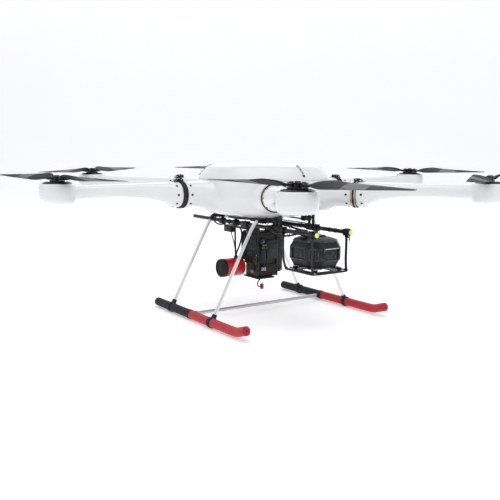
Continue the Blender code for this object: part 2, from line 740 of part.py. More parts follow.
def make_strap(x, rail_y, tray_y):
    rings = []
    for y, z in ((tray_y, TRAY_Z - 2), (rail_y, RAIL_Z - 9)):
        corners = ((-2, -5.5), (2, -5.5), (2, 5.5), (-2, 5.5))
        rings.append([(x + dx, y + dy, z) for dx, dy in corners])
    return loft("strap", rings)


def make_cradle():
    base = box("tray", (-TRAY_HALF_X, TRAY_FRONT, TRAY_Z - 3), (TRAY_HALF_X, TRAY_REAR, TRAY_Z))
    window = box("window", (-40, TRAY_FRONT + 38, TRAY_Z - 9), (40, TRAY_REAR - 38, TRAY_Z + 9))
    steps = [(CUT, window)]
    for side in SIDES_X:
        x = side * RAIL_X
        for rail_y, tray_y in STRAPS:
            steps.append((JOIN, make_strap(x, rail_y, tray_y)))
            steps += clamp_steps(x, rail_y, 16, 12, 18)
        for end in (-1, 1):
            x, y = side * DAMPER_X, DAMPER_Y + end * DAMPER_REACH
            damper = rod("damper", (x, y, TRAY_Z - 1), (x, y, TRAY_Z + 16), 10.0, 8, 8.0)
            steps.append((JOIN, damper))
    return combine("cradle", base, steps)


def make_case():
    rings = []
    for z, scale in CASE_ROWS:
        half_x, half_y = CASE_HALF_X * scale, CASE_HALF_Y * scale
        outline = octagon(-half_x, half_x, CASE_Y - half_y, CASE_Y + half_y, CASE_CORNER * scale)
        rings.append([(x, y, z) for x, y in outline])
    steps = []
    # A shallow pocket in each of the four upright faces.
    for side in SIDES_X:
        y = CASE_Y + side * (CASE_HALF_Y + 4)
        x = side * (CASE_HALF_X + 4)
        steps.append((CUT, box("pocket", (-POCKET_HALF, y - 7, POCKET_BOTTOM),
                               (POCKET_HALF, y + 7, POCKET_TOP), 2.0)))
        steps.append((CUT, box("pocket", (x - 7, CASE_Y - POCKET_HALF, POCKET_BOTTOM),
                               (x + 7, CASE_Y + POCKET_HALF, POCKET_TOP), 2.0)))
    return combine("camera_case", loft("case", rings), steps)


# ---------------------------------------------------------------- rear payload
CORE_X = (-46.0, 50.0)
CORE_Y = (-36.0, 46.0)
CORE_Z = (-236.0, -46.0)
MODULE_CHAMFER = 3.0
DRUM_Y, DRUM_Z = 62.0, -203.0
DRUM_X = (-157.0, -58.0)  # its outer and inner ends
DRUM_SIDES = 18


def make_module():
    (x0, x1), (y0, y1), (z0, z1) = CORE_X, CORE_Y, CORE_Z
    # Operation, name, two opposite corners, chamfer.
    parts = [
        (CUT, "recess", (x0 - 5, y0 + 12, -150), (x0 + 9, y1 - 12, -70), 0),
        (CUT, "recess", (x0 + 10, y0 - 5, -120), (x0 + 34, y0 + 8, -60), 0),
        (CUT, "recess", (x0 + 8, y0 - 5, -222), (x0 + 36, y0 + 16, -196), 0),
        (JOIN, "bottom", (x0 - 8, y0 - 12, z0 - 5), (x1 - 24, y1 + 6, z0 + 1), 0),
        (JOIN, "side_unit", (x1 - 4, y0 + 5, -222), (x1 + 27, y1 - 6, -72), MODULE_CHAMFER),
        (JOIN, "rear_unit", (x0 - 8, y1 - 4, -176), (x0 + 40, y1 + 26, -66), MODULE_CHAMFER),
        (JOIN, "cable_arm", (-86, 10, z1 - 3), (-64, 146, z1 + 2), 0),
        (JOIN, "cable_box", (-88, 92, -70), (-62, 142, z1), 0),
        (JOIN, "top", (-88, -14, z1 - 3), (88, 26, z1 + 3), 0),
    ]
    steps = [(operation, box(*part)) for operation, *part in parts]
    for side in SIDES_X:
        x = side * RAIL_X
        clamp = box("clamp", (x - CLAMP_HALF_WIDTH, -12, z1 - 2),
                    (x + CLAMP_HALF_WIDTH, 24, RAIL_Z + 11), MODULE_CHAMFER)
        steps += [(JOIN, clamp), (CUT, rail_bore(x, 6, 40))]
    steps.append((JOIN, box("drum_arm", (x0 - 9, 30, -186), (x0 + 4, 44, -160))))
    core = box("core", (x0, y0, z0), (x1, y1, z1), MODULE_CHAMFER)
    return combine("sensor_module", core, steps)


def make_drum():
    """Along X, its axis through its origin, with a dished outer end round a boss."""
    outer, inner = DRUM_X
    skin = [(outer, 32.0), (outer + 2.5, 35.8), (inner - 2, 35.8), (inner, 33.8)]
    dish = turned_x("dish", [(outer - 4, 25.0), (outer + 2.5, 23.0)], DRUM_SIDES)
    boss = turned_x("boss", [(outer + 0.5, 10.0), (outer + 6, 12.0)], DRUM_SIDES)
    return combine("drum", turned_x("drum", skin, DRUM_SIDES), [(CUT, dish), (JOIN, boss)])


def make_pigtail():
    path = [(-34, -34, -242.6), (-43, -34, -250), (-46, -33, -262), (-40, -32, -272),
            (-27, -31, -273)]
    plug = box("plug", (-29, -37, -283), (-18, -25, -262), 1.5)
    return combine("pigtail", sweep("cable", path, 1.6, 6), [(JOIN, plug)])


def place_payloads():
    place("cradle", make_cradle(), "plate_black")
    place("camera_case", make_case(), "case_grey")
    place("sensor_module", make_module(), "case_grey")
    place("signal_drum", make_drum(), "drum_red", shift(0, DRUM_Y, DRUM_Z))
    place("pigtail", make_pigtail(), "connector_red")


# ---------------------------------------------------------------- assembly
for old in list(bpy.data.objects):
    bpy.data.objects.remove(old, do_unlink=True)

place_body()
place_arms()
place_rails()
place_landing_gear()
place_payloads()

# Drop the meshes left over from the booleans.
for spare in list(bpy.data.meshes):
    if spare.users == 0:
        bpy.data.meshes.remove(spare)
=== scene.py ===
"""Six-arm survey drone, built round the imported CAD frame.

Lengths are millimetres in the CAD's own frame (+Z up, front towards -Y, left towards -X) and
become metres when a mesh is made. Every piece rides on a CAD body.
"""

import math
import random

import bmesh
import bpy
from mathutils import Matrix, Vector, noise


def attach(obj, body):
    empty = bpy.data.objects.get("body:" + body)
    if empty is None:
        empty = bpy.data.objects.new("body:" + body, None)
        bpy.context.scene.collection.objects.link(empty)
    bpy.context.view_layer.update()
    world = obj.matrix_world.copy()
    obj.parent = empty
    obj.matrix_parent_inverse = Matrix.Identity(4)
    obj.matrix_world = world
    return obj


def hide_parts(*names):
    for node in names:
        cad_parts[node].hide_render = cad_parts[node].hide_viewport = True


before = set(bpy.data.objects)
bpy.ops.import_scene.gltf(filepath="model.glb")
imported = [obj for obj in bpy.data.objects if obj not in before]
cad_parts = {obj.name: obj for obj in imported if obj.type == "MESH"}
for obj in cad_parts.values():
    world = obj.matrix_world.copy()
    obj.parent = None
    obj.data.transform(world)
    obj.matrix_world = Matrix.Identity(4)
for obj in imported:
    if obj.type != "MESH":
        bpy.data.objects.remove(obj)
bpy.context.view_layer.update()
random.seed(7)
MM = 0.001
ORIGIN = Matrix.Identity(4)

# ================================================================ the CAD's dimensions
MOTOR_R, PROP_Z = 820.0, 160.0
# name, azimuth of the arm, azimuth of the resting propeller, direction of rotation
ARMS = [
    ("left", 180.0, -75.7, -1), ("rear_left", 120.0, 31.6, 1), ("rear_right", 60.0, 150.0, -1),
    ("right", 0.0, -81.1, 1), ("front_right", 300.0, 206.4, -1), ("front_left", 240.0, -80.0, 1),
]
SOCKET_Z, SOCKET_R, SPIGOT_R = 94.5, 45.5, 43.5
SEAM, GAP = 369.0, 0.4  # where arm and fuselage meet, and the clearance between pieces
RING_IN, RING_OUT = 360.0, 378.0  # the lock ring's ends, from the drone's axis
RING_BORE, RING_R = 44.9, 50.5
BODY_TOP = 144.0
HATCH_Z = BODY_TOP + GAP
BOLT_X = 22.0  # blade bolt, from the rotor's axis
RAIL_X, RAIL_Z, RAIL_R, RAIL_FRONT, RAIL_REAR = 77.0, -30.0, 7.5, -412.0, 390.0
SKID_X, SKID_Z, SKID_REAR, SKID_BEND = 320.6, -354.0, 271.5, -290.0
SKID_TIP_Y, SKID_TIP_RISE, SKID_JOINT = -352.7, 19.0, 12.5
FOAM_R, LEG_R, LEG_TOP = 16.3, 6.3, -3.0
LEG_Y = (-136.0, 155.0)
TRAY_Z, CASE_Y = -166.0, -313.0


# ================================================================ curves and outlines
def smooth_path(points, steps=6):
    """A Catmull-Rom curve through three or more points of any dimension."""
    points = [Vector(point) for point in points]
    ends = [points[0] * 2 - points[1]] + points + [points[-1] * 2 - points[-2]]
    path = []
    for k in range(1, len(ends) - 2):
        before, start, stop, after = ends[k - 1 : k + 3]
        for i in range(steps):
            t = i / steps
            path.append(
                0.5 * (
                    (2 * start)
                    + (stop - before) * t
                    + (2 * before - 5 * start + 4 * stop - after) * t * t
                    + (3 * start - before - 3 * stop + after) * t**3
                )
            )
    path.append(points[-1])
    return path


def soften(points, radius, steps=5, closed=False):
    """The same polyline with its corners turned into short curves."""
    points = [Vector(point) for point in points]
    count = len(points)
    path = []
    for k, corner in enumerate(points):
        if not closed and k in (0, count - 1):
            path.append(corner)
            continue
        back = points[(k - 1) % count] - corner
        ahead = points[(k + 1) % count] - corner
        reach = min(radius, back.length * 0.49, ahead.length * 0.49)
        start = corner + back.normalized() * reach
        stop = corner + ahead.normalized() * reach
        for i in range(steps + 1):
            t = i / steps
            path.append(start * (1 - t) ** 2 + corner * 2 * t * (1 - t) + stop * t * t)
    return path


def headings(points):
    """The unit direction of a path at each of its points."""
    last = len(points) - 1
    return [
        (points[min(k + 1, last)] - points[max(k - 1, 0)]).normalized() for k in range(last + 1)
    ]


def ease(t):
    t = max(0.0, min(1.0, t))
    return t * t * (3 - 2 * t)


def slope_at(i, slopes, gaps):
    """The slope of a monotone curve at row i, from the slopes and lengths of its intervals."""
    if i == 0:
        return slopes[0]
    if i == len(slopes):
        return slopes[-1]
    before, after = slopes[i - 1], slopes[i]
    if before * after <= 0:
        return 0.0
    weight, other = 2 * gaps[i] + gaps[i - 1], gaps[i] + 2 * gaps[i - 1]
    return (weight + other) / (weight / before + other / after)


def table_at(rows, x):
    """Smooth interpolation, without overshoot, of rows whose first entry is x."""
    if x <= rows[0][0]:
        return list(rows[0][1:])
    if x >= rows[-1][0]:
        return list(rows[-1][1:])
    gaps = [after[0] - row[0] for row, after in zip(rows, rows[1:])]
    k = max(i for i in range(len(gaps)) if rows[i][0] <= x)
    t = (x - rows[k][0]) / gaps[k]
    values = []
    for column in range(1, len(rows[0])):
        slopes = [(rows[i + 1][column] - rows[i][column]) / gap for i, gap in enumerate(gaps)]
        leave = slope_at(k, slopes, gaps) * gaps[k]
        arrive = slope_at(k + 1, slopes, gaps) * gaps[k]
        values.append(
            (2 * t**3 - 3 * t * t + 1) * rows[k][column]
            + (t**3 - 2 * t * t + t) * leave
            + (3 * t * t - 2 * t**3) * rows[k + 1][column]
            + (t**3 - t * t) * arrive
        )
    return values


def polar(radius, degrees):
    angle = math.radians(degrees)
    return radius * math.cos(angle), radius * math.sin(angle)


def stadium(half, radius, steps=12):
    """Two half circles about x = -half and x = half, joined by straight sides."""
    outline = []
    for side in (1, -1):
        for i in range(steps + 1):
            angle = -math.pi / 2 + math.pi * i / steps
            x = side * (half + radius * math.cos(angle))
            outline.append((x, side * radius * math.sin(angle)))
    return outline


def signed_power(value, power):
    return math.copysign(abs(value) ** power, value)


def superellipse(centre_y, half_x, half_y, power, count=64, phase=0.5):
    """An outline about x = 0. Power 1 gives an ellipse, and smaller powers squarer corners."""
    outline = []
    for i in range(count):
        angle = 2 * math.pi * (i + phase) / count
        x = half_x * signed_power(math.cos(angle), power)
        outline.append((x, centre_y + half_y * signed_power(math.sin(angle), power)))
    return outline


def oval(x, top, bottom, half, count, power=1.0, inset=0.0):
    """A ring in the plane at x, between heights bottom and top, half its width to each side."""
    mid, tall, wide = (top + bottom) / 2, (top - bottom) / 2 - inset, half - inset
    ring = []
    for i in range(count):
        angle = 2 * math.pi * i / count
        y = wide * signed_power(math.cos(angle), power)
        ring.append((x, y, mid + tall * signed_power(math.sin(angle), power)))
    return ring


def socket_ring(x, radius, count):
    return oval(x, SOCKET_Z + radius, SOCKET_Z - radius, radius, count)


def collar(inner, outer, half, edge_r, edge_z):
    """The profile of a band from z = -half to half, its outer edges cut by edge_r and edge_z."""
    return [
        (inner, -half), (outer - edge_r, -half), (outer, -half + edge_z),
        (outer, half - edge_z), (outer - edge_r, half), (inner, half),
    ]


def shift(x, y=0.0, z=0.0):
    return Matrix.Translation((x, y, z))


def turn(degrees, axis="Z"):
    return Matrix.Rotation(math.radians(degrees), 4, axis)


def aim(point, axis):
    """Local +Z points along axis, from the given point."""
    return Matrix.Translation(point) @ Vector(axis).to_track_quat("Z", "Y").to_matrix().to_4x4()


def in_metres(matrix):
    matrix = matrix.copy()
    matrix.translation = matrix.translation * MM
    return matrix


# ================================================================ mesh building
class Shape:
    """Gathers closed shapes, in millimetres, for one mesh with the given material slots.

    matrix places what is added next, before any placing of its own. use() picks its material.
    """

    def __init__(self, *materials):
        self.materials = materials
        self.points, self.faces, self.uvs, self.slots = [], [], [], []
        self.matrix = ORIGIN
        self.slot = 0

    def use(self, material):
        self.slot = self.materials.index(material)

    def put(self, points, faces, uvs=None, at=ORIGIN):
        base = len(self.points)
        matrix = self.matrix @ at
        self.points += [matrix @ Vector(point) for point in points]
        self.faces += [[base + i for i in face] for face in faces]
        self.uvs += uvs or [None] * len(faces)
        self.slots += [self.slot] * len(faces)
        return self

    def loft(self, rings):
        """Through rings of the same count. The texture runs along the rings' centres."""
        rings = [[Vector(point) for point in ring] for ring in rings]
        count = len(rings[0])
        centres = [sum(ring, Vector((0, 0, 0))) / count for ring in rings]
        along = [0.0]
        for k in range(1, len(rings)):
            step = (centres[k] - centres[k - 1]).length
            along.append(along[-1] + max(step, (rings[k][0] - rings[k - 1][0]).length * 0.3))
        widest = max(rings, key=lambda ring: (ring[0] - ring[count // 2]).length)
        girth = sum((widest[i] - widest[(i + 1) % count]).length for i in range(count))
        faces, uvs = [], []
        for k in range(len(rings) - 1):
            low, high = k * count, (k + 1) * count
            start, stop = along[k] * MM, along[k + 1] * MM
            for i in range(count):
                j = (i + 1) % count
                faces.append((low + i, low + j, high + j, high + i))
                near, far = girth * i / count * MM, girth * (i + 1) / count * MM
                uvs.append(((start, near), (start, far), (stop, far), (stop, near)))
        points = [point for ring in rings for point in ring]
        faces += [tuple(range(count))[::-1], tuple(range(len(points) - count, len(points)))]
        return self.put(points, faces, uvs + [None, None])

    def lathe(self, profile, segments, closed=True, at=ORIGIN):
        """A profile of (radius, z) turned about local Z. Points on the axis become one vertex."""
        points, rows = [], []
        for radius, z in profile:
            if radius < 1e-6:
                rows.append([len(points)] * segments)
                points.append((0.0, 0.0, z))
                continue
            rows.append(list(range(len(points), len(points) + segments)))
            for i in range(segments):
                angle = 2 * math.pi * i / segments
                points.append((radius * math.cos(angle), radius * math.sin(angle), z))
        count = len(profile)
        girth = 2 * math.pi * (sum(point[0] for point in profile) / count)
        run = [0.0]
        for k in range(count):
            start, stop = profile[k], profile[(k + 1) % count]
            run.append(run[-1] + math.hypot(stop[0] - start[0], stop[1] - start[1]))
        faces, uvs = [], []
        for k in range(count if closed else count - 1):
            low, high = rows[k], rows[(k + 1) % count]
            start, stop = run[k] * MM, run[k + 1] * MM
            for i in range(segments):
                j = (i + 1) % segments
                near, far = girth * i / segments * MM, girth * (i + 1) / segments * MM
                face, face_uvs = [], []
                for vertex, place in (
                    (low[i], (near, start)), (low[j], (far, start)),
                    (high[j], (far, stop)), (high[i], (near, stop)),
                ):
                    if vertex not in face:
                        face.append(vertex)
                        face_uvs.append(place)
                if len(face) > 2:
                    faces.append(tuple(face))
                    uvs.append(tuple(face_uvs))
        return self.put(points, faces, uvs, at)

    def tube(self, path, radius, segments):
        """A round bar along a path, its frames carried along without twisting.

        radius is one number, or a list with one for each point.
        """
        points = [Vector(point) for point in path]
        radii = radius if isinstance(radius, list) else [radius] * len(points)
        side = None
        rings = []
        for point, ahead, reach in zip(points, headings(points), radii):
            if side is None:
                side = ahead.cross(Vector((0, 0, 1)))
                if side.length < 1e-3:
                    side = Vector((1, 0, 0))
                side.normalize()
            else:
                side = (side - ahead * side.dot(ahead)).normalized()
            up = ahead.cross(side)
            angles = [2 * math.pi * (i + 0.5) / segments for i in range(segments)]
            rings.append([
                point + reach * (math.cos(angle) * side + math.sin(angle) * up)
                for angle in angles
            ])
        return self.loft(rings)

    def wire(self, path, radius, segments=8, steps=6):
        return self.tube(smooth_path(path, steps), radius, segments)

    def strap(self, path, width, thick, edge):
        """A flat band along a path, its width along Y where the path allows."""
        across = Vector((0, 1, 0))
        points = [Vector(point) for point in path]
        wide, high = width / 2, thick / 2
        corners = [
            (-wide + edge, -high), (wide - edge, -high), (wide, -high + edge),
            (wide, high - edge), (wide - edge, high), (-wide + edge, high),
            (-wide, high - edge), (-wide, -high + edge),
        ]
        rings = []
        for point, ahead in zip(points, headings(points)):
            side = (across - ahead * across.dot(ahead)).normalized()
            up = ahead.cross(side)
            rings.append([point + side * x + up * y for x, y in corners])
        return self.loft(rings)

    def from_bmesh(self, bm, at):
        bm.verts.index_update()
        faces = [tuple(vertex.index for vertex in face.verts) for face in bm.faces]
        self.put([tuple(vertex.co) for vertex in bm.verts], faces, at=at)
        bm.free()
        return self

    def box(self, low, high, rounding=0.8, segments=2, at=ORIGIN):
        bm = bmesh.new()
        bmesh.ops.create_cube(bm, size=1.0)
        size = [high[i] - low[i] for i in range(3)]
        for vertex in bm.verts:
            vertex.co = Vector([low[i] + (vertex.co[i] + 0.5) * size[i] for i in range(3)])
        rounding = min(rounding, min(size) * 0.4)
        bmesh.ops.bevel(
            bm, geom=bm.edges[:], offset=rounding, segments=segments, profile=0.5, affect="EDGES"
        )
        return self.from_bmesh(bm, at)

    def boxes(self, *rows):
        """Each row is low corner, high corner, rounding and perhaps the rounding's segments."""
        for row in rows:
            self.box(*row)

    def prism(self, outline, bottom, top, rounding, segments=2, at=ORIGIN):
        """An outline in XY pushed up local Z, with its rims rounded."""
        bm = bmesh.new()
        face = bm.faces.new([bm.verts.new((x, y, bottom)) for x, y in outline])
        made = bmesh.ops.extrude_face_region(bm, geom=[face])["geom"]
        raised = [item for item in made if isinstance(item, bmesh.types.BMVert)]
        bmesh.ops.translate(bm, vec=(0, 0, top - bottom), verts=raised)
        if rounding > 0:
            rims = [
                edge for edge in bm.edges
                if abs(edge.verts[0].co.z - edge.verts[1].co.z) < 1e-6
            ]
            bmesh.ops.bevel(
                bm, geom=rims, offset=rounding, segments=segments, profile=0.5, affect="EDGES"
            )
        return self.from_bmesh(bm, at)

    def bolt(self, seat, axis, radius, height, segments=16):
        """A socket head on its seat."""
        profile = [
            (0, -1.2), (radius * 0.8, -1.2), (radius, -0.4), (radius, height * 0.7),
            (radius * 0.86, height), (radius * 0.56, height), (radius * 0.5, height * 0.35),
            (0, height * 0.3),
        ]
        self.lathe(profile, segments, closed=False, at=aim(seat, axis))

    def bolts(self, seats, axis, *size):
        for seat in seats:
            self.bolt(seat, axis, *size)

    def mirrored(self):
        """The same shapes with left and right exchanged."""
        twin = Shape(*self.materials)
        twin.points = [Vector((-point.x, point.y, point.z)) for point in self.points]
        twin.faces = [list(reversed(face)) for face in self.faces]
        twin.uvs = [list(reversed(uv)) if uv else None for uv in self.uvs]
        twin.slots = list(self.slots)
        return twin

    def mesh(self, name, angle=35.0):
        mesh = bpy.data.meshes.new(name)
        mesh.from_pydata([point * MM for point in self.points], [], self.faces)
        layer = mesh.uv_layers.new(name="UVMap")
        for poly, uvs, slot in zip(mesh.polygons, self.uvs, self.slots):
            poly.material_index = slot
            if uvs is None:  # flat mapping along the face's main axis
                normal = poly.normal
                axis = max(range(3), key=lambda i: abs(normal[i]))
                across, up = [i for i in range(3) if i != axis]
                corners = [mesh.vertices[k].co for k in poly.vertices]
                uvs = [(corner[across], corner[up]) for corner in corners]
            for loop, place in zip(poly.loop_indices, uvs):
                layer.data[loop].uv = place
        bm = bmesh.new()
        bm.from_mesh(mesh)
        bmesh.ops.recalc_face_normals(bm, faces=bm.faces)
        bm.to_mesh(mesh)
        bm.free()
        return shade_smooth(mesh, angle)

    def add(self, name, body, **options):
        """Makes the mesh and puts it in the scene. The options are those of piece()."""
        return piece(name, self.mesh(name), self.materials, body, **options)


def shade_smooth(mesh, angle):
    mesh.polygons.foreach_set("use_smooth", [True] * len(mesh.polygons))
    mesh.set_sharp_from_angle(angle=math.radians(angle))
    return mesh


def boolean(base, steps, angle=35.0):
    """Joins or cuts base with each step's mesh in turn.

    A step is an operation, a mesh and perhaps the matrix that places it.
    """
    scene = bpy.context.scene.collection
    target = bpy.data.objects.new("tmp_base", base)
    scene.objects.link(target)
    for operation, mesh, *place in steps:
        tool = bpy.data.objects.new("tmp_cut", mesh)
        scene.objects.link(tool)
        if place:
            tool.matrix_world = in_metres(place[0])
        modifier = target.modifiers.new("cut", "BOOLEAN")
        modifier.operation, modifier.object, modifier.solver = operation, tool, "EXACT"
        bpy.context.view_layer.update()
        evaluated = target.evaluated_get(bpy.context.evaluated_depsgraph_get())
        made = bpy.data.meshes.new_from_object(evaluated)
        target.modifiers.clear()
        target.data = made
        bpy.data.objects.remove(tool, do_unlink=True)
    mesh = target.data
    bpy.data.objects.remove(target, do_unlink=True)
    bm = bmesh.new()
    bm.from_mesh(mesh)
    bmesh.ops.remove_doubles(bm, verts=bm.verts, dist=2e-6)
    bmesh.ops.dissolve_degenerate(bm, edges=bm.edges, dist=2e-6)
    bm.to_mesh(mesh)
    bm.free()
    return shade_smooth(mesh, angle)


def piece(name, mesh, materials, body, place=ORIGIN, replaces=None, slot=None, bevel=None):
    """Puts a mesh in place and gives it its materials and its CAD body.

    Copies of a shared mesh may differ in material: those slots are then linked to the object.
    bevel is the width, in millimetres, of a rounding on the edges.
    """
    obj = bpy.data.objects.new(name, mesh)
    bpy.context.scene.collection.objects.link(obj)
    obj.matrix_world = in_metres(place)
    if not mesh.get("dressed"):
        for material in materials:
            mesh.materials.append(material)
        mesh["dressed"] = 1
    else:
        for i, material in enumerate(materials):
            if mesh.materials[i] != material:
                obj.material_slots[i].link = "OBJECT"
                obj.material_slots[i].material = material
    if bevel:
        modifier = obj.modifiers.new("edge", "BEVEL")
        modifier.width, modifier.segments, modifier.limit_method = bevel * MM, 2, "ANGLE"
        modifier.angle_limit = math.radians(40)
        modifier.harden_normals = True
    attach(obj, body)
    if replaces:
        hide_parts(replaces)
    return obj


# ================================================================ materials
MIDDLE = (0.3, 0.7)  # the part of a noise's range that most of it falls in


class Paint:
    """A material round one Principled shader. Keywords name the shader's inputs."""

    def __init__(self, name, **inputs):
        self.material = bpy.data.materials.new(name)
        self.material.use_nodes = True
        self.tree = self.material.node_tree
        self.tree.nodes.clear()
        output = self.new("ShaderNodeOutputMaterial")
        self.shader = self.new("ShaderNodeBsdfPrincipled")
        self.tree.links.new(self.shader.outputs[0], output.inputs["Surface"])
        for key, value in inputs.items():
            self.shader.inputs[key.replace("_", " ")].default_value = value
        self.coords = self.new("ShaderNodeTexCoord")

    def new(self, kind, **links):
        node = self.tree.nodes.new(kind)
        for key, socket in links.items():
            self.tree.links.new(socket, node.inputs[key])
        return node

    def set(self, **links):
        for key, socket in links.items():
            self.tree.links.new(socket, self.shader.inputs[key.replace("_", " ")])

    def space(self, which="Object", scale=(1, 1, 1)):
        mapping = self.new("ShaderNodeMapping", Vector=self.coords.outputs[which])
        mapping.inputs["Scale"].default_value = scale
        return mapping.outputs[0]

    def axes(self, which, scale=(1, 1, 1)):
        return self.new("ShaderNodeSeparateXYZ", Vector=self.space(which, scale)).outputs

    def noise(self, scale, detail=3.0, rough=0.5, which="Object", stretch=(1, 1, 1)):
        node = self.new("ShaderNodeTexNoise", Vector=self.space(which, stretch))
        node.inputs["Scale"].default_value = scale
        node.inputs["Detail"].default_value = detail
        node.inputs["Roughness"].default_value = rough
        return node.outputs["Fac"]

    def cells(self, scale, distance="EUCLIDEAN"):
        node = self.new("ShaderNodeTexVoronoi", Vector=self.space())
        node.inputs["Scale"].default_value = scale
        node.distance = distance
        return node.outputs["Distance"]

    def ramp(self, value, *colors, at=MIDDLE):
        node = self.new("ShaderNodeValToRGB", Fac=value)
        elements = node.color_ramp.elements
        while len(elements) < len(colors):
            elements.new(0.5)
        for element, position, color in zip(elements, at, colors):
            element.position = position
            element.color = (*color, 1.0)
        return node.outputs["Color"]

    def span(self, value, given, gives=(0.0, 1.0)):
        """Maps the range given onto the range it gives."""
        node = self.new("ShaderNodeMapRange", Value=value)
        for key, limit in zip(("From Min", "From Max", "To Min", "To Max"), (*given, *gives)):
            node.inputs[key].default_value = limit
        return node.outputs[0]

    def math(self, operation, *values):
        node = self.new("ShaderNodeMath")
        node.operation = operation
        for socket, value in zip(node.inputs, values):
            if isinstance(value, (int, float)):
                socket.default_value = value
            else:
                self.tree.links.new(value, socket)
        return node.outputs[0]

    def mix(self, factor, below, above):
        """Two colours, each a socket or a tuple."""
        node = self.new("ShaderNodeMix")
        node.data_type = "RGBA"
        self.tree.links.new(factor, node.inputs[0])
        for socket, value in ((node.inputs[6], below), (node.inputs[7], above)):
            if isinstance(value, tuple):
                socket.default_value = (*value, 1.0)
            else:
                self.tree.links.new(value, socket)
        return node.outputs[2]

    def bump(self, height, strength, distance):
        node = self.new("ShaderNodeBump", Height=height)
        node.inputs["Strength"].default_value = strength
        node.inputs["Distance"].default_value = distance
        self.set(Normal=node.outputs[0])

    def edges(self, given):
        """1 on convex edges of a dense mesh."""
        return self.span(self.new("ShaderNodeNewGeometry").outputs["Pointiness"], given)


def faded(color, factor):
    return tuple(min(1, channel * factor) for channel in color)


def moulded(
    name, dark, light, rough=(0.22, 0.34), coat=0.35, grain=900.0, strength=0.06, wear=None,
    shine=0.5,
):
    """Moulded or painted plastic: slow colour drift, uneven gloss, a fine grain, worn edges."""
    paint = Paint(name, Coat_Weight=coat, Coat_Roughness=0.12, Specular_IOR_Level=shine)
    color = paint.ramp(paint.noise(scale=7.0, detail=4.0, rough=0.55), dark, light)
    if wear:
        patches = paint.noise(scale=120.0, detail=5.0, rough=0.7)
        patches = paint.span(patches, given=(0.42, 0.62))
        scuff = paint.math("MULTIPLY", paint.edges(given=(0.52, 0.6)), patches)
        color = paint.mix(scuff, color, wear)
    gloss = paint.noise(scale=38.0, detail=6.0, rough=0.6)
    paint.set(Base_Color=color, Roughness=paint.span(gloss, given=MIDDLE, gives=rough))
    paint.bump(paint.noise(scale=grain, detail=2.0), strength=strength, distance=0.0004)
    return paint.material


def anodised(name, color, rough=(0.3, 0.42), metal=0.75, wear=(0.35, 0.35, 0.36), shine=0.5):
    """Dyed or painted metal, scuffed on its edges."""
    paint = Paint(name, Metallic=metal, Specular_IOR_Level=shine)
    drift = paint.noise(scale=45.0, detail=5.0, rough=0.6)
    base = paint.ramp(drift, faded(color, 0.8), faded(color, 1.2))
    patches = paint.noise(scale=260.0, detail=4.0, rough=0.7)
    patches = paint.span(patches, given=(0.45, 0.6), gives=(0.0, 0.7))
    scuff = paint.math("MULTIPLY", paint.edges(given=(0.53, 0.62)), patches)
    gloss = paint.noise(scale=220.0, detail=4.0, rough=0.6)
    paint.set(
        Base_Color=paint.mix(scuff, base, wear),
        Roughness=paint.span(gloss, given=MIDDLE, gives=rough),
    )
    paint.bump(paint.noise(scale=1600.0, detail=2.0), strength=0.08, distance=0.0002)
    return paint.material


def brushed(name, color, rough, stretch=(6.0, 1500.0, 1.0)):
    """Drawn or brushed metal: fine lines along the texture's first direction."""
    paint = Paint(name, Metallic=1.0, Anisotropic=0.5)
    lines = paint.noise(scale=1.0, detail=6.0, rough=0.65, which="UV", stretch=stretch)
    slow = paint.noise(scale=14.0)
    tone = paint.math("ADD", paint.math("MULTIPLY", lines, 0.6), paint.math("MULTIPLY", slow, 0.4))
    paint.set(
        Base_Color=paint.ramp(tone, faded(color, 0.86), faded(color, 1.08)),
        Roughness=paint.span(lines, given=MIDDLE, gives=rough),
    )
    paint.bump(lines, strength=0.12, distance=0.0002)
    return paint.material


def carbon(name, dark, light, coat, shine, tow=0.0024, rough=(0.3, 0.46), patch=None):
    """A two-over-two twill: tows, tow metres wide, rise and dip across each other."""
    paint = Paint(name, Coat_Weight=coat, Coat_Roughness=0.16, Specular_IOR_Level=shine)
    along, across = paint.axes("UV", (1 / tow, 1 / tow, 1.0))[:2]
    cell = paint.math("ADD", paint.math("FLOOR", along), paint.math("FLOOR", across))
    over = paint.math("LESS_THAN", paint.math("FLOORED_MODULO", cell, 4.0), 1.5)
    bows = [
        paint.math("SINE", paint.math("MULTIPLY", paint.math("FRACT", place), math.pi))
        for place in (along, across)
    ]
    under = paint.math("SUBTRACT", 1.0, over)
    height = paint.math(
        "ADD", paint.math("MULTIPLY", over, bows[0]), paint.math("MULTIPLY", under, bows[1])
    )
    fibre = paint.noise(scale=1.0, rough=0.6, which="UV", stretch=(9000.0, 900.0, 1.0))
    shade = paint.math(
        "ADD", paint.math("MULTIPLY", over, 0.45), paint.math("MULTIPLY", fibre, 0.5)
    )
    color = paint.ramp(shade, dark, light, at=(0.1, 0.85))
    # patch paints over the colour: on the blades it is a painted reflection
    if patch:
        color = patch(paint, color)
    gloss = paint.math("ADD", fibre, paint.noise(scale=30.0))
    paint.set(Base_Color=color, Roughness=paint.span(gloss, given=(0.6, 1.4), gives=rough))
    paint.bump(height, strength=0.12, distance=0.0002)
    return paint.material


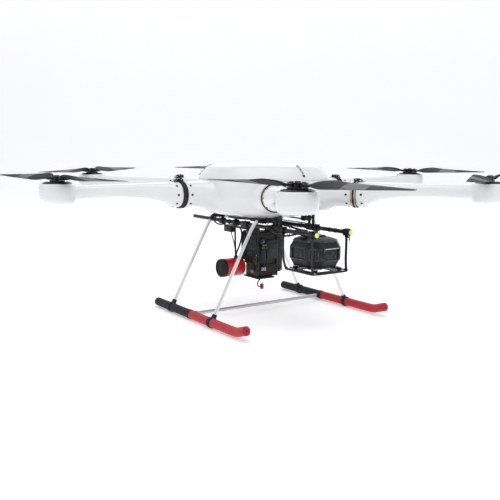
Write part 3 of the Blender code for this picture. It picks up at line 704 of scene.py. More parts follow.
def foam(name, dark, light, sheen=0.3):
    """Closed-cell foam: fine cells, scattered pits and rubbed, paler patches."""
    paint = Paint(name, Sheen_Weight=sheen, Sheen_Roughness=0.5, Specular_IOR_Level=0.25)
    cells = paint.cells(scale=620.0)
    fine = paint.noise(scale=900.0, rough=0.6)
    slow = paint.noise(scale=26.0, detail=5.0, rough=0.6)
    tone = paint.math("ADD", paint.math("MULTIPLY", slow, 0.7), paint.math("MULTIPLY", fine, 0.3))
    paint.set(
        Base_Color=paint.ramp(tone, dark, light, at=(0.32, 0.68)),
        Roughness=paint.span(fine, given=MIDDLE, gives=(0.78, 0.95)),
    )
    pits = paint.noise(scale=140.0, detail=2.0, rough=0.4)
    pits = paint.span(pits, given=(0.68, 0.76), gives=(1.0, 0.0))
    skin = paint.math(
        "ADD", paint.math("MULTIPLY", cells, 0.5), paint.math("MULTIPLY", slow, 1.2)
    )
    height = paint.math("ADD", skin, paint.math("MULTIPLY", pits, 0.5))
    paint.bump(height, strength=0.35, distance=0.0006)
    return paint.material


def rubber(name, color, rough=(0.5, 0.68), grain=1300.0):
    paint = Paint(name, Specular_IOR_Level=0.4)
    drift = paint.noise(scale=60.0, detail=4.0, rough=0.6)
    gloss = paint.noise(scale=180.0, rough=0.6)
    paint.set(
        Base_Color=paint.ramp(drift, faded(color, 0.75), faded(color, 1.3)),
        Roughness=paint.span(gloss, given=MIDDLE, gives=rough),
    )
    paint.bump(paint.noise(scale=grain, rough=0.6), strength=0.15, distance=0.0003)
    return paint.material


def webbing(name, color):
    """A woven tape: ribs along it and picks across it."""
    paint = Paint(name, Sheen_Weight=0.2, Roughness=0.8)
    density = 5200.0  # radians per metre of the weave
    ribs = [
        paint.math("SINE", paint.math("MULTIPLY", place, density))
        for place in paint.axes("UV")[:2]
    ]
    weave = paint.math("MULTIPLY", *ribs)
    drift = paint.noise(scale=90.0, detail=4.0, rough=0.6)
    tone = paint.math("ADD", paint.math("MULTIPLY", weave, 0.25), drift)
    color = paint.ramp(tone, faded(color, 0.6), faded(color, 1.5), at=(0.2, 0.8))
    paint.set(Base_Color=color)
    paint.bump(weave, strength=0.3, distance=0.0003)
    return paint.material


def windings(name):
    """Copper wire laid side by side."""
    paint = Paint(name, Metallic=1.0, Roughness=0.32)
    density = 9000.0  # radians per metre across the wires
    lines = paint.math("SINE", paint.math("MULTIPLY", paint.axes("UV")[1], density))
    drift = paint.noise(scale=70.0, detail=4.0)
    tone = paint.math("ADD", paint.math("MULTIPLY", lines, 0.2), drift)
    color = paint.ramp(tone, (0.30, 0.11, 0.04), (0.78, 0.36, 0.16), at=(0.2, 0.8))
    paint.set(Base_Color=color)
    paint.bump(lines, strength=0.5, distance=0.0003)
    return paint.material


def board(name):
    """A green circuit board with tracks and pads."""
    paint = Paint(name, Coat_Weight=0.4, Roughness=0.35)
    tracks = paint.span(paint.cells(scale=260.0, distance="CHEBYCHEV"), given=(0.28, 0.36))
    green = paint.mix(tracks, (0.004, 0.026, 0.014), (0.012, 0.06, 0.03))
    pads = paint.span(paint.noise(scale=420.0, detail=1.0, rough=0.3), given=(0.66, 0.7))
    paint.set(
        Base_Color=paint.mix(pads, green, (0.7, 0.6, 0.3)),
        Metallic=paint.math("MULTIPLY", pads, 0.9),
    )
    paint.bump(paint.math("ADD", tracks, pads), strength=0.25, distance=0.0003)
    return paint.material


def glass(name):
    """Dark coated glass, bluer where it turns away."""
    paint = Paint(name, Coat_Weight=1.0, Coat_Roughness=0.02, Roughness=0.08)
    facing = paint.new("ShaderNodeLayerWeight")
    facing.inputs["Blend"].default_value = 0.35
    swirl = paint.math("MULTIPLY", paint.noise(scale=30.0, detail=2.0, rough=0.4), 0.2)
    tone = paint.math("ADD", facing.outputs["Facing"], swirl)
    colors = (0.004, 0.004, 0.008), (0.015, 0.02, 0.05), (0.05, 0.03, 0.09)
    paint.set(Base_Color=paint.ramp(tone, *colors, at=(0.1, 0.6, 1.0)))
    return paint.material


def painted_reflection_band(paint, color):
    """Painted reflection: a paler band with bright streaks round the middle of a blade."""
    x = paint.axes("Object")[0]
    start, stop = 0.129, 0.204  # metres from the blade's bolt
    inside = paint.math(
        "MULTIPLY", paint.math("GREATER_THAN", x, start), paint.math("LESS_THAN", x, stop)
    )
    streak = paint.noise(scale=1.0, detail=4.0, rough=0.6, stretch=(12.0, 260.0, 60.0))
    streak = paint.span(streak, given=(0.4, 0.62), gives=(0.1, 0.95))
    return paint.mix(paint.math("MULTIPLY", inside, streak), color, (0.26, 0.26, 0.266))


WHITE = moulded(
    "white_shell", dark=(0.775, 0.785, 0.80), light=(0.815, 0.823, 0.835), rough=(0.18, 0.26),
    coat=0.4, grain=1100.0, strength=0.02,
)
BLACK = moulded(
    "black_plastic", dark=(0.003, 0.003, 0.0036), light=(0.006, 0.006, 0.007),
    rough=(0.34, 0.5), coat=0.0, grain=1500.0, strength=0.16, wear=(0.07, 0.07, 0.07), shine=0.26,
)
GREY = moulded(
    "case_plastic", dark=(0.0055, 0.0068, 0.009), light=(0.010, 0.012, 0.0155),
    rough=(0.26, 0.42), coat=0.0, grain=1400.0, strength=0.2, wear=(0.16, 0.17, 0.185), shine=0.32,
)
MID_GREY = moulded(
    "grey_panel", dark=(0.011, 0.0125, 0.015), light=(0.02, 0.0215, 0.0245), rough=(0.3, 0.44),
    coat=0.0, grain=1400.0, strength=0.18, shine=0.35,
)
RED = moulded(
    "drum_red", dark=(0.50, 0.012, 0.018), light=(0.66, 0.02, 0.028), rough=(0.24, 0.38),
    coat=0.3, strength=0.08,
)
PLUG = moulded(
    "plug_red", dark=(0.22, 0.012, 0.025), light=(0.36, 0.02, 0.035), rough=(0.3, 0.45),
    coat=0.15, grain=1400.0, strength=0.1,
)
NEON = moulded(
    "neon_plastic", dark=(0.66, 0.88, 0.14), light=(0.80, 0.98, 0.26), rough=(0.3, 0.45),
    coat=0.2, grain=1200.0, strength=0.08,
)
RING_BLACK = anodised(
    "ring_black", (0.008, 0.008, 0.009), rough=(0.3, 0.44), metal=0.1, wear=(0.13, 0.13, 0.13),
    shine=0.3,
)
RING_GOLD = anodised(
    "ring_gold", (0.72, 0.62, 0.42), rough=(0.24, 0.36), metal=0.95, wear=(0.9, 0.82, 0.62)
)
MOTOR = anodised(
    "motor_black", (0.006, 0.006, 0.0068), rough=(0.32, 0.46), metal=0.1,
    wear=(0.12, 0.12, 0.125), shine=0.3,
)
ALLOY_BLACK = anodised(
    "alloy_black", (0.004, 0.004, 0.0048), rough=(0.34, 0.5), metal=0.1,
    wear=(0.09, 0.09, 0.095), shine=0.28,
)
STEEL = brushed("steel", (0.5, 0.5, 0.51), rough=(0.22, 0.4), stretch=(800.0, 800.0, 1.0))
DARK_STEEL = anodised("dark_steel", (0.03, 0.03, 0.032), rough=(0.3, 0.45), metal=0.85)
ALLOY = brushed("brushed_aluminium", (0.86, 0.865, 0.875), rough=(0.22, 0.38))
# a darker copy of the brushed aluminium: painted shade for the cross bar
ALLOY_SHADED = brushed("drawn_aluminium", (0.6, 0.605, 0.615), rough=(0.3, 0.46))
LAMINATION = anodised("lamination", (0.06, 0.06, 0.062), rough=(0.4, 0.55), metal=0.7)
COPPER = windings("copper_windings")
CARBON = carbon(
    "carbon_twill", dark=(0.0035, 0.0035, 0.0042), light=(0.011, 0.011, 0.0125), coat=0.08,
    shine=0.3,
)
FOAM_RED = foam("foam_red", dark=(0.42, 0.012, 0.026), light=(0.54, 0.022, 0.038))
FOAM_BLACK = foam(
    "foam_black", dark=(0.008, 0.0085, 0.0095), light=(0.017, 0.0175, 0.019), sheen=0.12
)
RUBBER = rubber("rubber_black", (0.009, 0.009, 0.0095))
CABLE = rubber("cable_black", (0.006, 0.006, 0.0065), rough=(0.38, 0.52), grain=2200.0)
CABLE_RED = rubber("cable_red", (0.42, 0.015, 0.02), rough=(0.36, 0.5), grain=2200.0)
CABLE_GREY = rubber("cable_grey", (0.22, 0.22, 0.23), rough=(0.4, 0.55), grain=2200.0)
TAPE = webbing("strap_webbing", (0.010, 0.010, 0.011))
BOARD = board("circuit_board")
GLASS = glass("lens_glass")
WRAP = moulded(
    "battery_wrap", dark=(0.03, 0.034, 0.04), light=(0.05, 0.056, 0.065), rough=(0.25, 0.4),
    coat=0.4, grain=300.0, strength=0.2,
)
YELLOW = moulded(
    "connector_yellow", dark=(0.72, 0.5, 0.03), light=(0.85, 0.62, 0.06), rough=(0.3, 0.42),
    coat=0.1,
)
# the blades carry a painted reflection, a paler streaky band round their middle
BLADE = carbon(
    "blade_carbon", dark=(0.010, 0.0105, 0.0115), light=(0.026, 0.027, 0.029), coat=0.0,
    shine=0.16, tow=0.002, rough=(0.5, 0.66), patch=painted_reflection_band,
)
LATCH = moulded(
    "latch_grey", dark=(0.3, 0.305, 0.31), light=(0.42, 0.425, 0.43), rough=(0.3, 0.42),
    coat=0.1, grain=1400.0, strength=0.1,
)

# ================================================================ fuselage and hatch
# radius and height of the fuselage's skin, from its belly up, and of the hollow inside it
BODY_OUTER = [
    (100, 0), (130, 3.3), (160, 7.9), (190, 13.4), (215, 20.4), (236, 30.8), (246, 43.5),
    (252.3, 60), (256, 80), (256.3, 102), (255.4, 124), (249, BODY_TOP - 2), (248, BODY_TOP),
]
BODY_INNER = [
    (0, 160), (236, 160), (236, 137), (246, 131.5), (252.5, 125), (252.8, 100), (252.3, 81),
    (248.8, 61.5), (242.6, 45.8), (233.4, 34.2), (213.4, 24), (188.9, 16.9), (159.4, 11.3),
    (129.6, 6.7), (100, 3), (0, 3),
]
# an arm socket: distance from the drone's axis, top, bottom, half width
SOCKET_ROWS = [
    (226, 138.0, 29.0, 88.0), (236, 140.3, 29.3, 80.0), (244, 141.0, 29.8, 71.5),
    (250, 141.3, 30.6, 65.0), (256, 141.3, 32.0, 60.2), (264, 141.2, 34.6, 56.4),
    (272, 141.0, 38.0, 53.6), (282, 140.8, 42.2, 50.8), (294, 140.6, 46.3, 48.2),
    (306, SOCKET_Z + 46, SOCKET_Z - 46, 46.4), (322, SOCKET_Z + 45.6, SOCKET_Z - 45.6, 45.6),
]
# the socket's round end and the spigot inside the lock ring: distance, radius
SOCKET_END = [
    (340, SOCKET_R), (357.5, SOCKET_R), (358.9, 45.2), (RING_IN - GAP, 44.6),
    (RING_IN - GAP, SPIGOT_R), (367.8, SPIGOT_R), (SEAM - GAP, SPIGOT_R - 0.8),
]


def fuselage_mesh():
    outer = [(0, 0), (96, 0)] + smooth_path(BODY_OUTER, 4) + [(0, BODY_TOP)]
    base = Shape().lathe(outer, 144).mesh("fuselage")
    rings = [oval(x, *table_at(SOCKET_ROWS, x), 56) for x in range(226, 323, 4)]
    rings += [socket_ring(x, radius, 56) for x, radius in SOCKET_END]
    socket = Shape().loft(rings).mesh("stub")
    inside = Shape().lathe(BODY_INNER, 144).mesh("inside")
    rings = [oval(226, 132.0, 58.0, 38.0, 40), oval(256, 132.5, 57.0, 38.0, 40)]
    rings += [socket_ring(x, 38.0, 40) for x in (300, SEAM + 10)]
    bore = Shape().loft(rings).mesh("bore")
    steps = [("UNION", socket, turn(angle)) for _, angle, _, _ in ARMS]
    steps.append(("DIFFERENCE", inside))
    steps += [("DIFFERENCE", bore, turn(angle)) for _, angle, _, _ in ARMS]
    return boolean(base, steps, 42.0)


piece(
    "body_shell", fuselage_mesh(), [WHITE], "airframe", replaces="fuselage_shell",
    slot="white_shell",
)

# radius and height above the hatch's foot, of its skin and of its underside
HATCH_SKIN = [
    (249.5, 0), (249.6, 3.5), (248.6, 7.5), (245.5, 13), (240.5, 20), (235.5, 26), (229, 33.2),
    (221, 41), (213, 46.8), (203, 51.2), (191, 54.4), (176, 56.2), (150, 57.3), (120, 58.0),
    (60, 58.2),
]
HATCH_INSIDE = [
    (60, 55.4), (120, 55.1), (186, 51.8), (208, 45.2), (228.5, 27.5), (240, 10), (244, 5), (244, 0),
]


def hatch_mesh():
    outer = smooth_path(HATCH_SKIN, 3) + [(0, 58.2)]
    inner = [(0, 55.4)] + smooth_path(HATCH_INSIDE, 2)
    return Shape().lathe(outer + inner, 144).mesh("hatch", 50)


piece(
    "hatch_cover", hatch_mesh(), [WHITE], "hatch", shift(0, 0, HATCH_Z), replaces="top_hatch",
    slot="white_shell",
)


def hatch_point(radius, lift=0.0):
    """A point lifted off the hatch's skin at a radius, at azimuth 0, and the outward normal."""
    for (outer, low), (inner, high) in zip(HATCH_SKIN, HATCH_SKIN[1:]):
        if inner <= radius <= outer:
            z = low + (high - low) * (radius - outer) / (inner - outer)
            ahead = Vector((inner - outer, high - low)).normalized()
            normal = (ahead.y, 0, -ahead.x)
            return (radius + normal[0] * lift, 0, HATCH_Z + z + normal[2] * lift), normal


part = Shape(DARK_STEEL, LATCH)
for azimuth in (150.0, 270.0, 30.0):
    part.matrix = turn(azimuth)
    part.use(DARK_STEEL)
    for radius in (243.2, 205.0):
        part.bolt(*hatch_point(radius), 5.2, 2.2, 20)
    # a slim grey strip joins each pair of screws, with three small studs on it
    part.use(LATCH)
    radii = (238.0, 234.5, 231.0, 227.0, 223.0, 219.0, 215.0, 211.0)
    part.strap([hatch_point(radius, 0.4)[0] for radius in radii], 8.4, 1.5, 0.4)
    part.use(DARK_STEEL)
    for radius in (235.0, 225.0, 214.0):
        part.bolt(*hatch_point(radius, 0.9), 2.7, 1.0)
part.add("hatch_screws", "hatch")

# a thin seal under the hatch's rim
part = Shape(RUBBER)
part.lathe(
    [(237.5, 144.1), (243.6, 144.1), (243.9, 144.35), (243.9, 146.3), (243.2, 146.6),
     (238, 146.6), (237.5, 146.2)],
    96,
)
part.add("hatch_seal", "airframe")

# eight screws round each socket, a little inboard of the ring
part = Shape(DARK_STEEL)
for _, angle, _, _ in ARMS:
    part.matrix = turn(angle)
    for k in range(8):
        y, z = polar(SOCKET_R, 45 * k)
        part.bolt((343, y, SOCKET_Z + z), (0, y / SOCKET_R, z / SOCKET_R), 4.3, 1.0)
part.add("socket_screws", "airframe")

# ================================================================ arms, along local X
# distance from the drone's axis, top and bottom from the propeller plane, half width
ARM_ROWS = [
    (378.5, -20.0, -111.0, 45.5), (396, -20.2, -109.0, 44.5), (427, -20.8, -95.0, 38.5),
    (460, -21.4, -83.0, 33.0), (526, -22.0, -71.5, 28.0), (640, -22.5, -66.5, 27.0),
    (712, -22.5, -68.0, 30.0), (760, -21.0, -70.5, 39.0), (790, -20.0, -71.0, 45.0),
]
POD_TILT = 0.085  # rise of the pod's underside per millimetre outwards


def arm_section(x):
    """Top, bottom and half width."""
    top, bottom, half = table_at(ARM_ROWS, x)
    return top + PROP_Z, bottom + PROP_Z, half


def arm_ring(x, count, inset=0.0):
    power = 1.0 - 0.14 * ease((x - 396) / 60)
    return oval(x, *arm_section(x), count, power, inset)


def arm_mesh():
    root = [
        (SEAM + GAP, 42.9), (370.4, SPIGOT_R), (378.4, SPIGOT_R), (378.4, 44.8), (379.0, 45.3),
        (380.2, 45.5),
    ]
    rings = [socket_ring(x, radius, 56) for x, radius in root]
    rings += [arm_ring(x, 56) for x in range(386, 795, 8)]
    base = Shape().loft(rings).mesh("arm_skin")
    # the motor pod at the arm's end
    corners = [(0, -79.0), (46, -79.0), (56, -69.0), (59, -50.0), (59, -28.0), (55, -15.0),
               (49.0, -15.0)]
    profile = soften(corners, 7.0, 5) + [Vector((0, -15.0))]
    pod = Shape().lathe([(radius, z + PROP_Z) for radius, z in profile], 80)
    pod.points = [
        Vector((p.x, p.y, p.z + (p.x * POD_TILT * ease((PROP_Z - 50 - p.z) / 14))))
        for p in pod.points
    ]
    pod = pod.mesh("pod")
    rings = [socket_ring(x, 37.5, 32) for x in (350, 376)]
    rings += [arm_ring(x, 32, inset=6.0) for x in (384, 400, 427, 460, 526, 640, 712, 770)]
    hollow = Shape().loft(rings).mesh("hollow")
    well = Shape().lathe(
        [(0, 108), (48.3, 108), (49.5, 109.2), (49.5, 143.6), (50.3, 145.2), (53, 165), (0, 165)],
        72,
    ).mesh("well")
    steps = [
        ("UNION", pod, shift(MOTOR_R)), ("DIFFERENCE", hollow),
        ("DIFFERENCE", well, shift(MOTOR_R)),
    ]
    return boolean(base, steps, 42.0)


def arm_fittings_mesh():
    """Screws round the root and under the pod, and the latch pad the lever closes on."""
    part = Shape(DARK_STEEL, BLACK)
    top, bottom, half = arm_section(398)
    mid, tall = (top + bottom) / 2, (top - bottom) / 2
    for k in range(8):
        across, up = polar(1, 45 * k)
        part.bolt((398, half * across, mid + tall * up), (-0.05, across, up), 4.3, 1.0)
    for k in range(4):
        x, y = polar(30, 45 + 90 * k)
        part.bolt((MOTOR_R + x, y, 81.2 + x * POD_TILT), (0.0, 0.0, -1.0), 2.6, 0.8)
    part.use(BLACK)
    top = arm_section(386)[0]
    part.box((381.5, -9, top - 2.0), (396, 9, top + 1.2), 0.8)
    return part.mesh("arm_fittings")


ARM = arm_mesh()
ARM_FITTINGS = arm_fittings_mesh()


def lock_ring_mesh():
    """A lock ring, its axis along local X."""
    part = Shape(RING_BLACK, BLACK, STEEL)
    part.matrix = turn(90, "Y")
    half = (RING_OUT - RING_IN) / 2
    # two bands, each with a raised trim, and a ribbed groove between them
    band = [
        (RING_BORE, -half + 0.5), (RING_BORE + 0.6, -half), (RING_R - 1.7, -half),
        (RING_R - 1.0, -half + 0.7), (RING_R - 1.0, -half + 5.4), (RING_R - 1.6, -half + 6.0),
        (RING_BORE, -half + 6.0),
    ]
    trim = [
        (RING_R - 1.9, -half + 1.3), (RING_R - 0.6, -half + 1.3), (RING_R - 0.1, -half + 1.8),
        (RING_R - 0.1, -half + 4.4), (RING_R - 0.6, -half + 4.9), (RING_R - 1.9, -half + 4.9),
    ]
    for sign in (1, -1):
        part.use(BLACK)
        part.lathe([(radius, z * sign) for radius, z in band], 96)
        part.use(RING_BLACK)
        part.lathe([(radius, z * sign) for radius, z in trim], 96)
    part.use(BLACK)
    floor_r = RING_R - 2.4
    part.lathe(
        [(RING_BORE, -half + 5.9), (floor_r, -half + 5.9), (floor_r, half - 5.9),
         (RING_BORE, half - 5.9)],
        96,
    )
    part.matrix = ORIGIN
    low, high = (-half + 6.3, -1.1, RING_R - 3.0), (half - 6.3, 1.1, RING_R - 0.9)
    for k in range(48):
        angle = 7.5 * k
        if polar(1, angle)[1] <= 0.9:  # the local -Y side has no ribs
            part.box(low, high, 0.4, 1, at=turn(angle, "X"))
    # the thumb lever arches from the ring over the joint, between two cheeks, on a cross pin
    lever = [(-7.6, -1.5), (-7.4, 2.6), (-3.5, 5.4), (4, 5.8), (11, 4.2), (17.5, 1.2), (21.4, -1.4)]
    part.strap(smooth_path([(x, 0, RING_R + rise) for x, rise in lever], 4), 21.0, 2.6, 0.8)
    for y in (-9.6, 9.6):
        part.box((-5.5, y - 1.6, RING_R - 2.6), (8.5, y + 1.6, RING_R + 4.6), 0.9)
    part.use(STEEL)
    pin = [(0, -12.0), (1.6, -12.0), (2.2, -11.4), (2.2, 11.4), (1.6, 12.0), (0, 12.0)]
    part.lathe(pin, 16, closed=False, at=shift(0, 0, RING_R + 2.2) @ turn(90, "X"))
    return part.mesh("lock_ring")


LOCK_RING = lock_ring_mesh()


# ================================================================ motors, z from the propeller plane
def stator_mesh():
    """A base and 24 poles, each with its winding."""
    part = Shape(LAMINATION, COPPER)
    part.lathe(
        [(7, -51.6), (40, -51.6), (41, -51.0), (41, -49.8), (36, -47.6), (14, -47.2),
         (14, -16.6), (7, -16.6)],
        48,
    )
    for k in range(24):
        part.matrix = turn(15 * k)
        part.use(LAMINATION)
        part.box((13, -1.6, -42), (35, 1.6, -19.5), 0.3, 1)
        part.box((34.4, -4.0, -42), (37.6, 4.0, -19.5), 0.5, 1)
        part.use(COPPER)
        wide = 3.4 if k % 2 else 3.0
        part.box((19.5, -wide, -45.0), (33.4, wide, -16.4), 2.0, 3)
    return part.mesh("stator")


def bell_mesh():
    """The rotor's can: a side wall and a top with twelve air slots."""
    profile = [
        (0, -13.8), (40.5, -13.8), (42, -15.3), (42, -43), (46.2, -43), (47.0, -42.2),
        (47.4, -30), (47.4, -16.2), (46.8, -14.2), (45.2, -12.4), (43, -11.5), (31, -10.8),
        (0, -10.8),
    ]
    base = Shape().lathe(profile, 96).mesh("bell")
    lean = math.degrees(0.1)  # the slots' outer ends are turned on by this
    steps = []
    for k in range(12):
        start, stop = 30 * k + 5, 30 * k + 22
        outline = [
            polar(17, start), polar(37, start + lean), polar(38.4, (start + stop) / 2 + lean),
            polar(37, stop + lean), polar(17, stop),
        ]
        slot = Shape().prism(soften(outline, 2.0, 3, closed=True), -17, -6, 0)
        steps.append(("DIFFERENCE", slot.mesh("slot")))
    return boolean(base, steps)


def rotor_mesh():
    part = Shape(MOTOR, DARK_STEEL, LAMINATION)
    # shaft, hub and the plates that grip the blades
    part.lathe([(0, -46), (4.4, -46), (5, -45.4), (5, -12), (0, -12)], 20)
    part.lathe(
        [(0, -13), (12.5, -13), (13.2, -12.2), (13.2, -8.0), (10.6, -7.0), (10.6, 6.5),
         (8.4, 8.2), (8.0, 10.8), (7.0, 11.6), (3.0, 11.6), (2.6, 10.4), (0, 10.4)],
        32,
    )
    part.prism(stadium(BOLT_X, 12.4), -9.4, -5.6, 0.8, 3)
    part.prism(stadium(BOLT_X - 3, 10.5), -12.0, -9.0, 0.7, 2)
    part.prism(stadium(BOLT_X, 12.3), 5.6, 8.3, 0.8, 3)
    part.use(DARK_STEEL)
    blade_bolt = [
        (0, -8), (3.0, -8), (3.0, 8.2), (5.2, 8.2), (5.4, 8.6), (5.4, 9.9), (4.9, 10.4),
        (2.9, 10.4), (2.6, 9.2), (0, 9.0),
    ]
    washer = [(3.4, 8.2), (6.6, 8.2), (6.8, 8.4), (6.8, 8.8), (6.5, 9.0), (3.4, 9.0)]
    for side in (-1, 1):
        for profile in (blade_bolt, washer):
            part.lathe(profile, 24, at=shift(side * BOLT_X))
        part.bolts([(side * 10.5, y, 8.3) for y in (-8.0, 8.0)], (0, 0, 1), 1.9, 1.3, 12)
    part.use(MOTOR)
    for k in range(12):
        part.box((14, -1.0, -11.6), (40, 1.0, -10.0), 0.5, 2, at=turn(30 * k + 28.5))
    bell = bell_mesh()
    layer = bell.uv_layers[0].data
    part.put(
        [vertex.co / MM for vertex in bell.vertices],
        [tuple(poly.vertices) for poly in bell.polygons],
        [[tuple(layer[i].uv) for i in poly.loop_indices] for poly in bell.polygons],
    )
    # magnets show as a row of dark bars inside the can's wall
    part.use(LAMINATION)
    for k in range(28):
        part.box((40.2, -3.9, -41.5), (42.4, 3.9, -18), 0.5, 1, at=turn(360 / 28 * k))
    return part.mesh("rotor")


# distance from the bolt, chord, pitch in degrees, thickness, leading edge ahead of the bolt line
BLADE_ROWS = [
    (-10.5, 6.0, 0.0, 8.8, 3.0), (-7.0, 16.0, 0.0, 8.8, 8.0), (0.0, 21.0, 0.0, 8.8, 10.5),
    (9.0, 22.0, 1.0, 8.8, 11.5), (24.0, 30.0, 14.0, 7.6, 19.0), (45.0, 50.0, 20.0, 6.4, 31.5),
    (75.0, 64.0, 20.0, 5.2, 39.0), (115.0, 62.0, 16.0, 4.4, 36.0),
    (160.0, 55.0, 14.0, 3.6, 31.0), (204.0, 47.0, 13.0, 3.0, 26.0),
    (248.0, 37.0, 11.5, 2.4, 20.5), (293.0, 26.0, 9.5, 1.9, 14.5),
    (326.0, 17.0, 8.5, 1.4, 9.5), (333.0, 12.0, 8.0, 1.2, 7.0),
]


def blade_section(angle, wing):
    """Place back from the leading edge and height, as fractions of chord and thickness.

    The outline passes from a rounded block at the root (wing 0) to a cambered airfoil (wing 1).
    """
    back = 0.5 * (1 - math.cos(angle))
    face = 1 if math.sin(angle) > 0 else -1
    thickness = (
        2.969 * math.sqrt(back) - 1.26 * back - 3.516 * back**2 + 2.843 * back**3
        - 1.036 * back**4
    )
    airfoil = 0.18 * 4 * back * (1 - back) + face * (1.48 * thickness * 0.35)
    block = 0.5 * face * (1 - abs(2 * back - 1) ** 7) ** (1 / 7)
    return back, block * (1 - wing) + airfoil * wing


def blade_mesh(sign):
    """A blade along local X from its bolt. sign is the propeller's direction of rotation."""
    count = 30
    xs = [-10.5, -10.0, -9.0, -7.5, -5.0, -2.0, 2.0, 6.0, 10.0, 14.0, 18.0]
    xs += [22 + 5.5 * i for i in range(12)] + [90 + 12.0 * i for i in range(19)]
    xs += [312, 318, 323, 327, 330, 332, 333]
    rings = []
    for x in xs:
        chord, pitch, thick, lead = table_at(BLADE_ROWS, x)
        if x > 322:  # the rounded tip
            fall = math.sqrt(max(0.0, 1 - ((x - 322) / 11.3) ** 2))
            wide = chord * (0.3 + 0.7 * fall)
            lead -= (chord - wide) * 0.4
            chord, thick = wide, thick * (0.5 + 0.5 * fall)
        if x < -4:
            lead = chord / 2
        cos, sin = math.cos(math.radians(pitch)), math.sin(math.radians(pitch))
        wing = ease((x - 12) / 26)
        rise = 2.2 * ease((x - 12) / 22)
        ring = []
        for i in range(count):
            back, height = blade_section(2 * math.pi * (i + 0.5) / count, wing)
            across, high = lead - back * chord, height * thick
            z = across * sin + high * cos + rise + max(0.0, x - 24) * 0.004
            ring.append((x, sign * (across * cos - high * sin), z))
        rings.append(ring)
    base = Shape().loft(rings).mesh("blade")
    hole = Shape().lathe([(0, -14), (3.7, -14), (3.7, 14), (0, 14)], 24).mesh("hole")
    return boolean(base, [("DIFFERENCE", hole)], 50.0)


STATOR, ROTOR = stator_mesh(), rotor_mesh()
BLADES = {sign: blade_mesh(sign) for sign in (1, -1)}
# the flanged metal bush in a blade's root
BUSH = Shape().lathe(
    [(3.35, -5.3), (7.4, -5.3), (7.4, -4.6), (5.0, -4.5), (5.0, 4.5), (7.4, 4.6), (7.4, 5.3),
     (3.35, 5.3)],
    24,
).mesh("bush")

for label, angle, rest, direction in ARMS:
    spin = turn(angle)
    piece(
        "arm_shell_" + label, ARM, [WHITE], "airframe", spin, replaces="arm_" + label,
        slot="white_shell",
    )
    piece("arm_fittings_" + label, ARM_FITTINGS, [DARK_STEEL, BLACK], "airframe", spin)
    gold = "front" in label
    piece(
        "ring_band_" + label, LOCK_RING, [RING_GOLD if gold else RING_BLACK, BLACK, STEEL],
        "ring_" + label, spin @ shift((RING_IN + RING_OUT) / 2, 0, SOCKET_Z),
        replaces="lock_ring_" + label, slot="gold_ring" if gold else "black_ring",
    )
    hub = Matrix.Translation((spin @ shift(MOTOR_R, 0, PROP_Z)).translation)
    piece(
        "stator_" + label, STATOR, [LAMINATION, COPPER], "airframe", hub @ spin,
        replaces="motor_stator_" + label, slot="stator_iron",
    )
    rotor_place = hub @ turn(rest)
    piece(
        "rotor_can_" + label, ROTOR, [MOTOR, DARK_STEEL, LAMINATION], "rotor_" + label,
        rotor_place, replaces="rotor_" + label, slot="black_alloy",
    )
    for letter, flip in (("a", 0.0), ("b", 180.0)):
        node = label + "_" + letter
        place = rotor_place @ turn(flip) @ shift(BOLT_X)
        piece(
            "prop_" + node, BLADES[direction], [BLADE], "blade_" + node, place,
            replaces="blade_" + node, slot="carbon",
        )
        piece("bush_" + node, BUSH, [STEEL], "blade_" + node, place)


# ================================================================ payload rails
def rail_shape():
    """One rail with its front cap, the front hanger's block and posts, and small collars."""
    part = Shape(CARBON, NEON, ALLOY_BLACK, DARK_STEEL)
    part.matrix = aim((0, 0, 0), (0, -1, 0))  # local z runs towards the front
    rear, tip = -RAIL_REAR, -RAIL_FRONT
    part.lathe(
        [(6.3, rear), (7.1, rear), (RAIL_R, rear + 0.5), (RAIL_R, tip - 9), (6.3, tip - 9)], 36
    )
    part.use(NEON)  # the cap, with a rounded rim
    cap = [
        (0, -12), (6.2, -12), (6.2, -6.0), (8.5, -6.0), (8.5, -2.0), (7.9, -0.6), (6.2, 0),
        (4.6, 0), (4.0, -1.4), (0, -1.4),
    ]
    part.lathe([(radius, tip + z) for radius, z in cap], 36)
    part.use(ALLOY_BLACK)  # the grooved collar behind the cap
    grooved = [
        (7.6, -15.6), (9.4, -15.6), (10, -15.0), (10, -10.2), (9.5, -9.7), (9.5, -9.1),
        (10, -8.6), (10, -4.0), (9.4, -3.4), (8.55, -3.4), (8.55, -8.6), (7.6, -9.0),
    ]
    part.lathe([(radius, tip + z) for radius, z in grooved], 36)
    part.matrix = ORIGIN
    part.box((-10, -216, -11), (10, -180, 10), 1.2)
    for y, top in ((-188.0, 14.0 - RAIL_Z), (-210.0, 19.6 - RAIL_Z)):
        part.box((-4, y - 4, 8), (4, y + 4, top), 0.6)
        part.box((-6.4, y - 6.2, top - 5.4), (6.4, y + 6.2, top - 3.0), 0.6)
    for y in (-213, -183):
        part.box((-10.7, y - 1.6, -3), (10.7, y + 1.6, 3), 0.8)
    part.use(DARK_STEEL)
    for y in (-207, -189):
        for side in (-1, 1):
            part.bolt((side * 10.0, y, -6.0), (side, 0, 0), 2.2, 1.4, 12)
    part.bolt((0, -198, -11), (0, 0, -1), 2.4, 1.4, 12)
    part.use(ALLOY_BLACK)
    for y in (-330, -300, -165, -126, 40, 240):
        part.lathe(collar(7.55, 8.7, 2.2, 0.3, 0.6), 28, at=aim((0, y, 0), (0, 1, 0)))
    return part


for side, label in ((-1, "left"), (1, "right")):
    rail_shape().add(
        "payload_rail_" + label, "airframe", place=shift(side * RAIL_X, 0, RAIL_Z),
        replaces="rail_" + label, slot="carbon",
    )


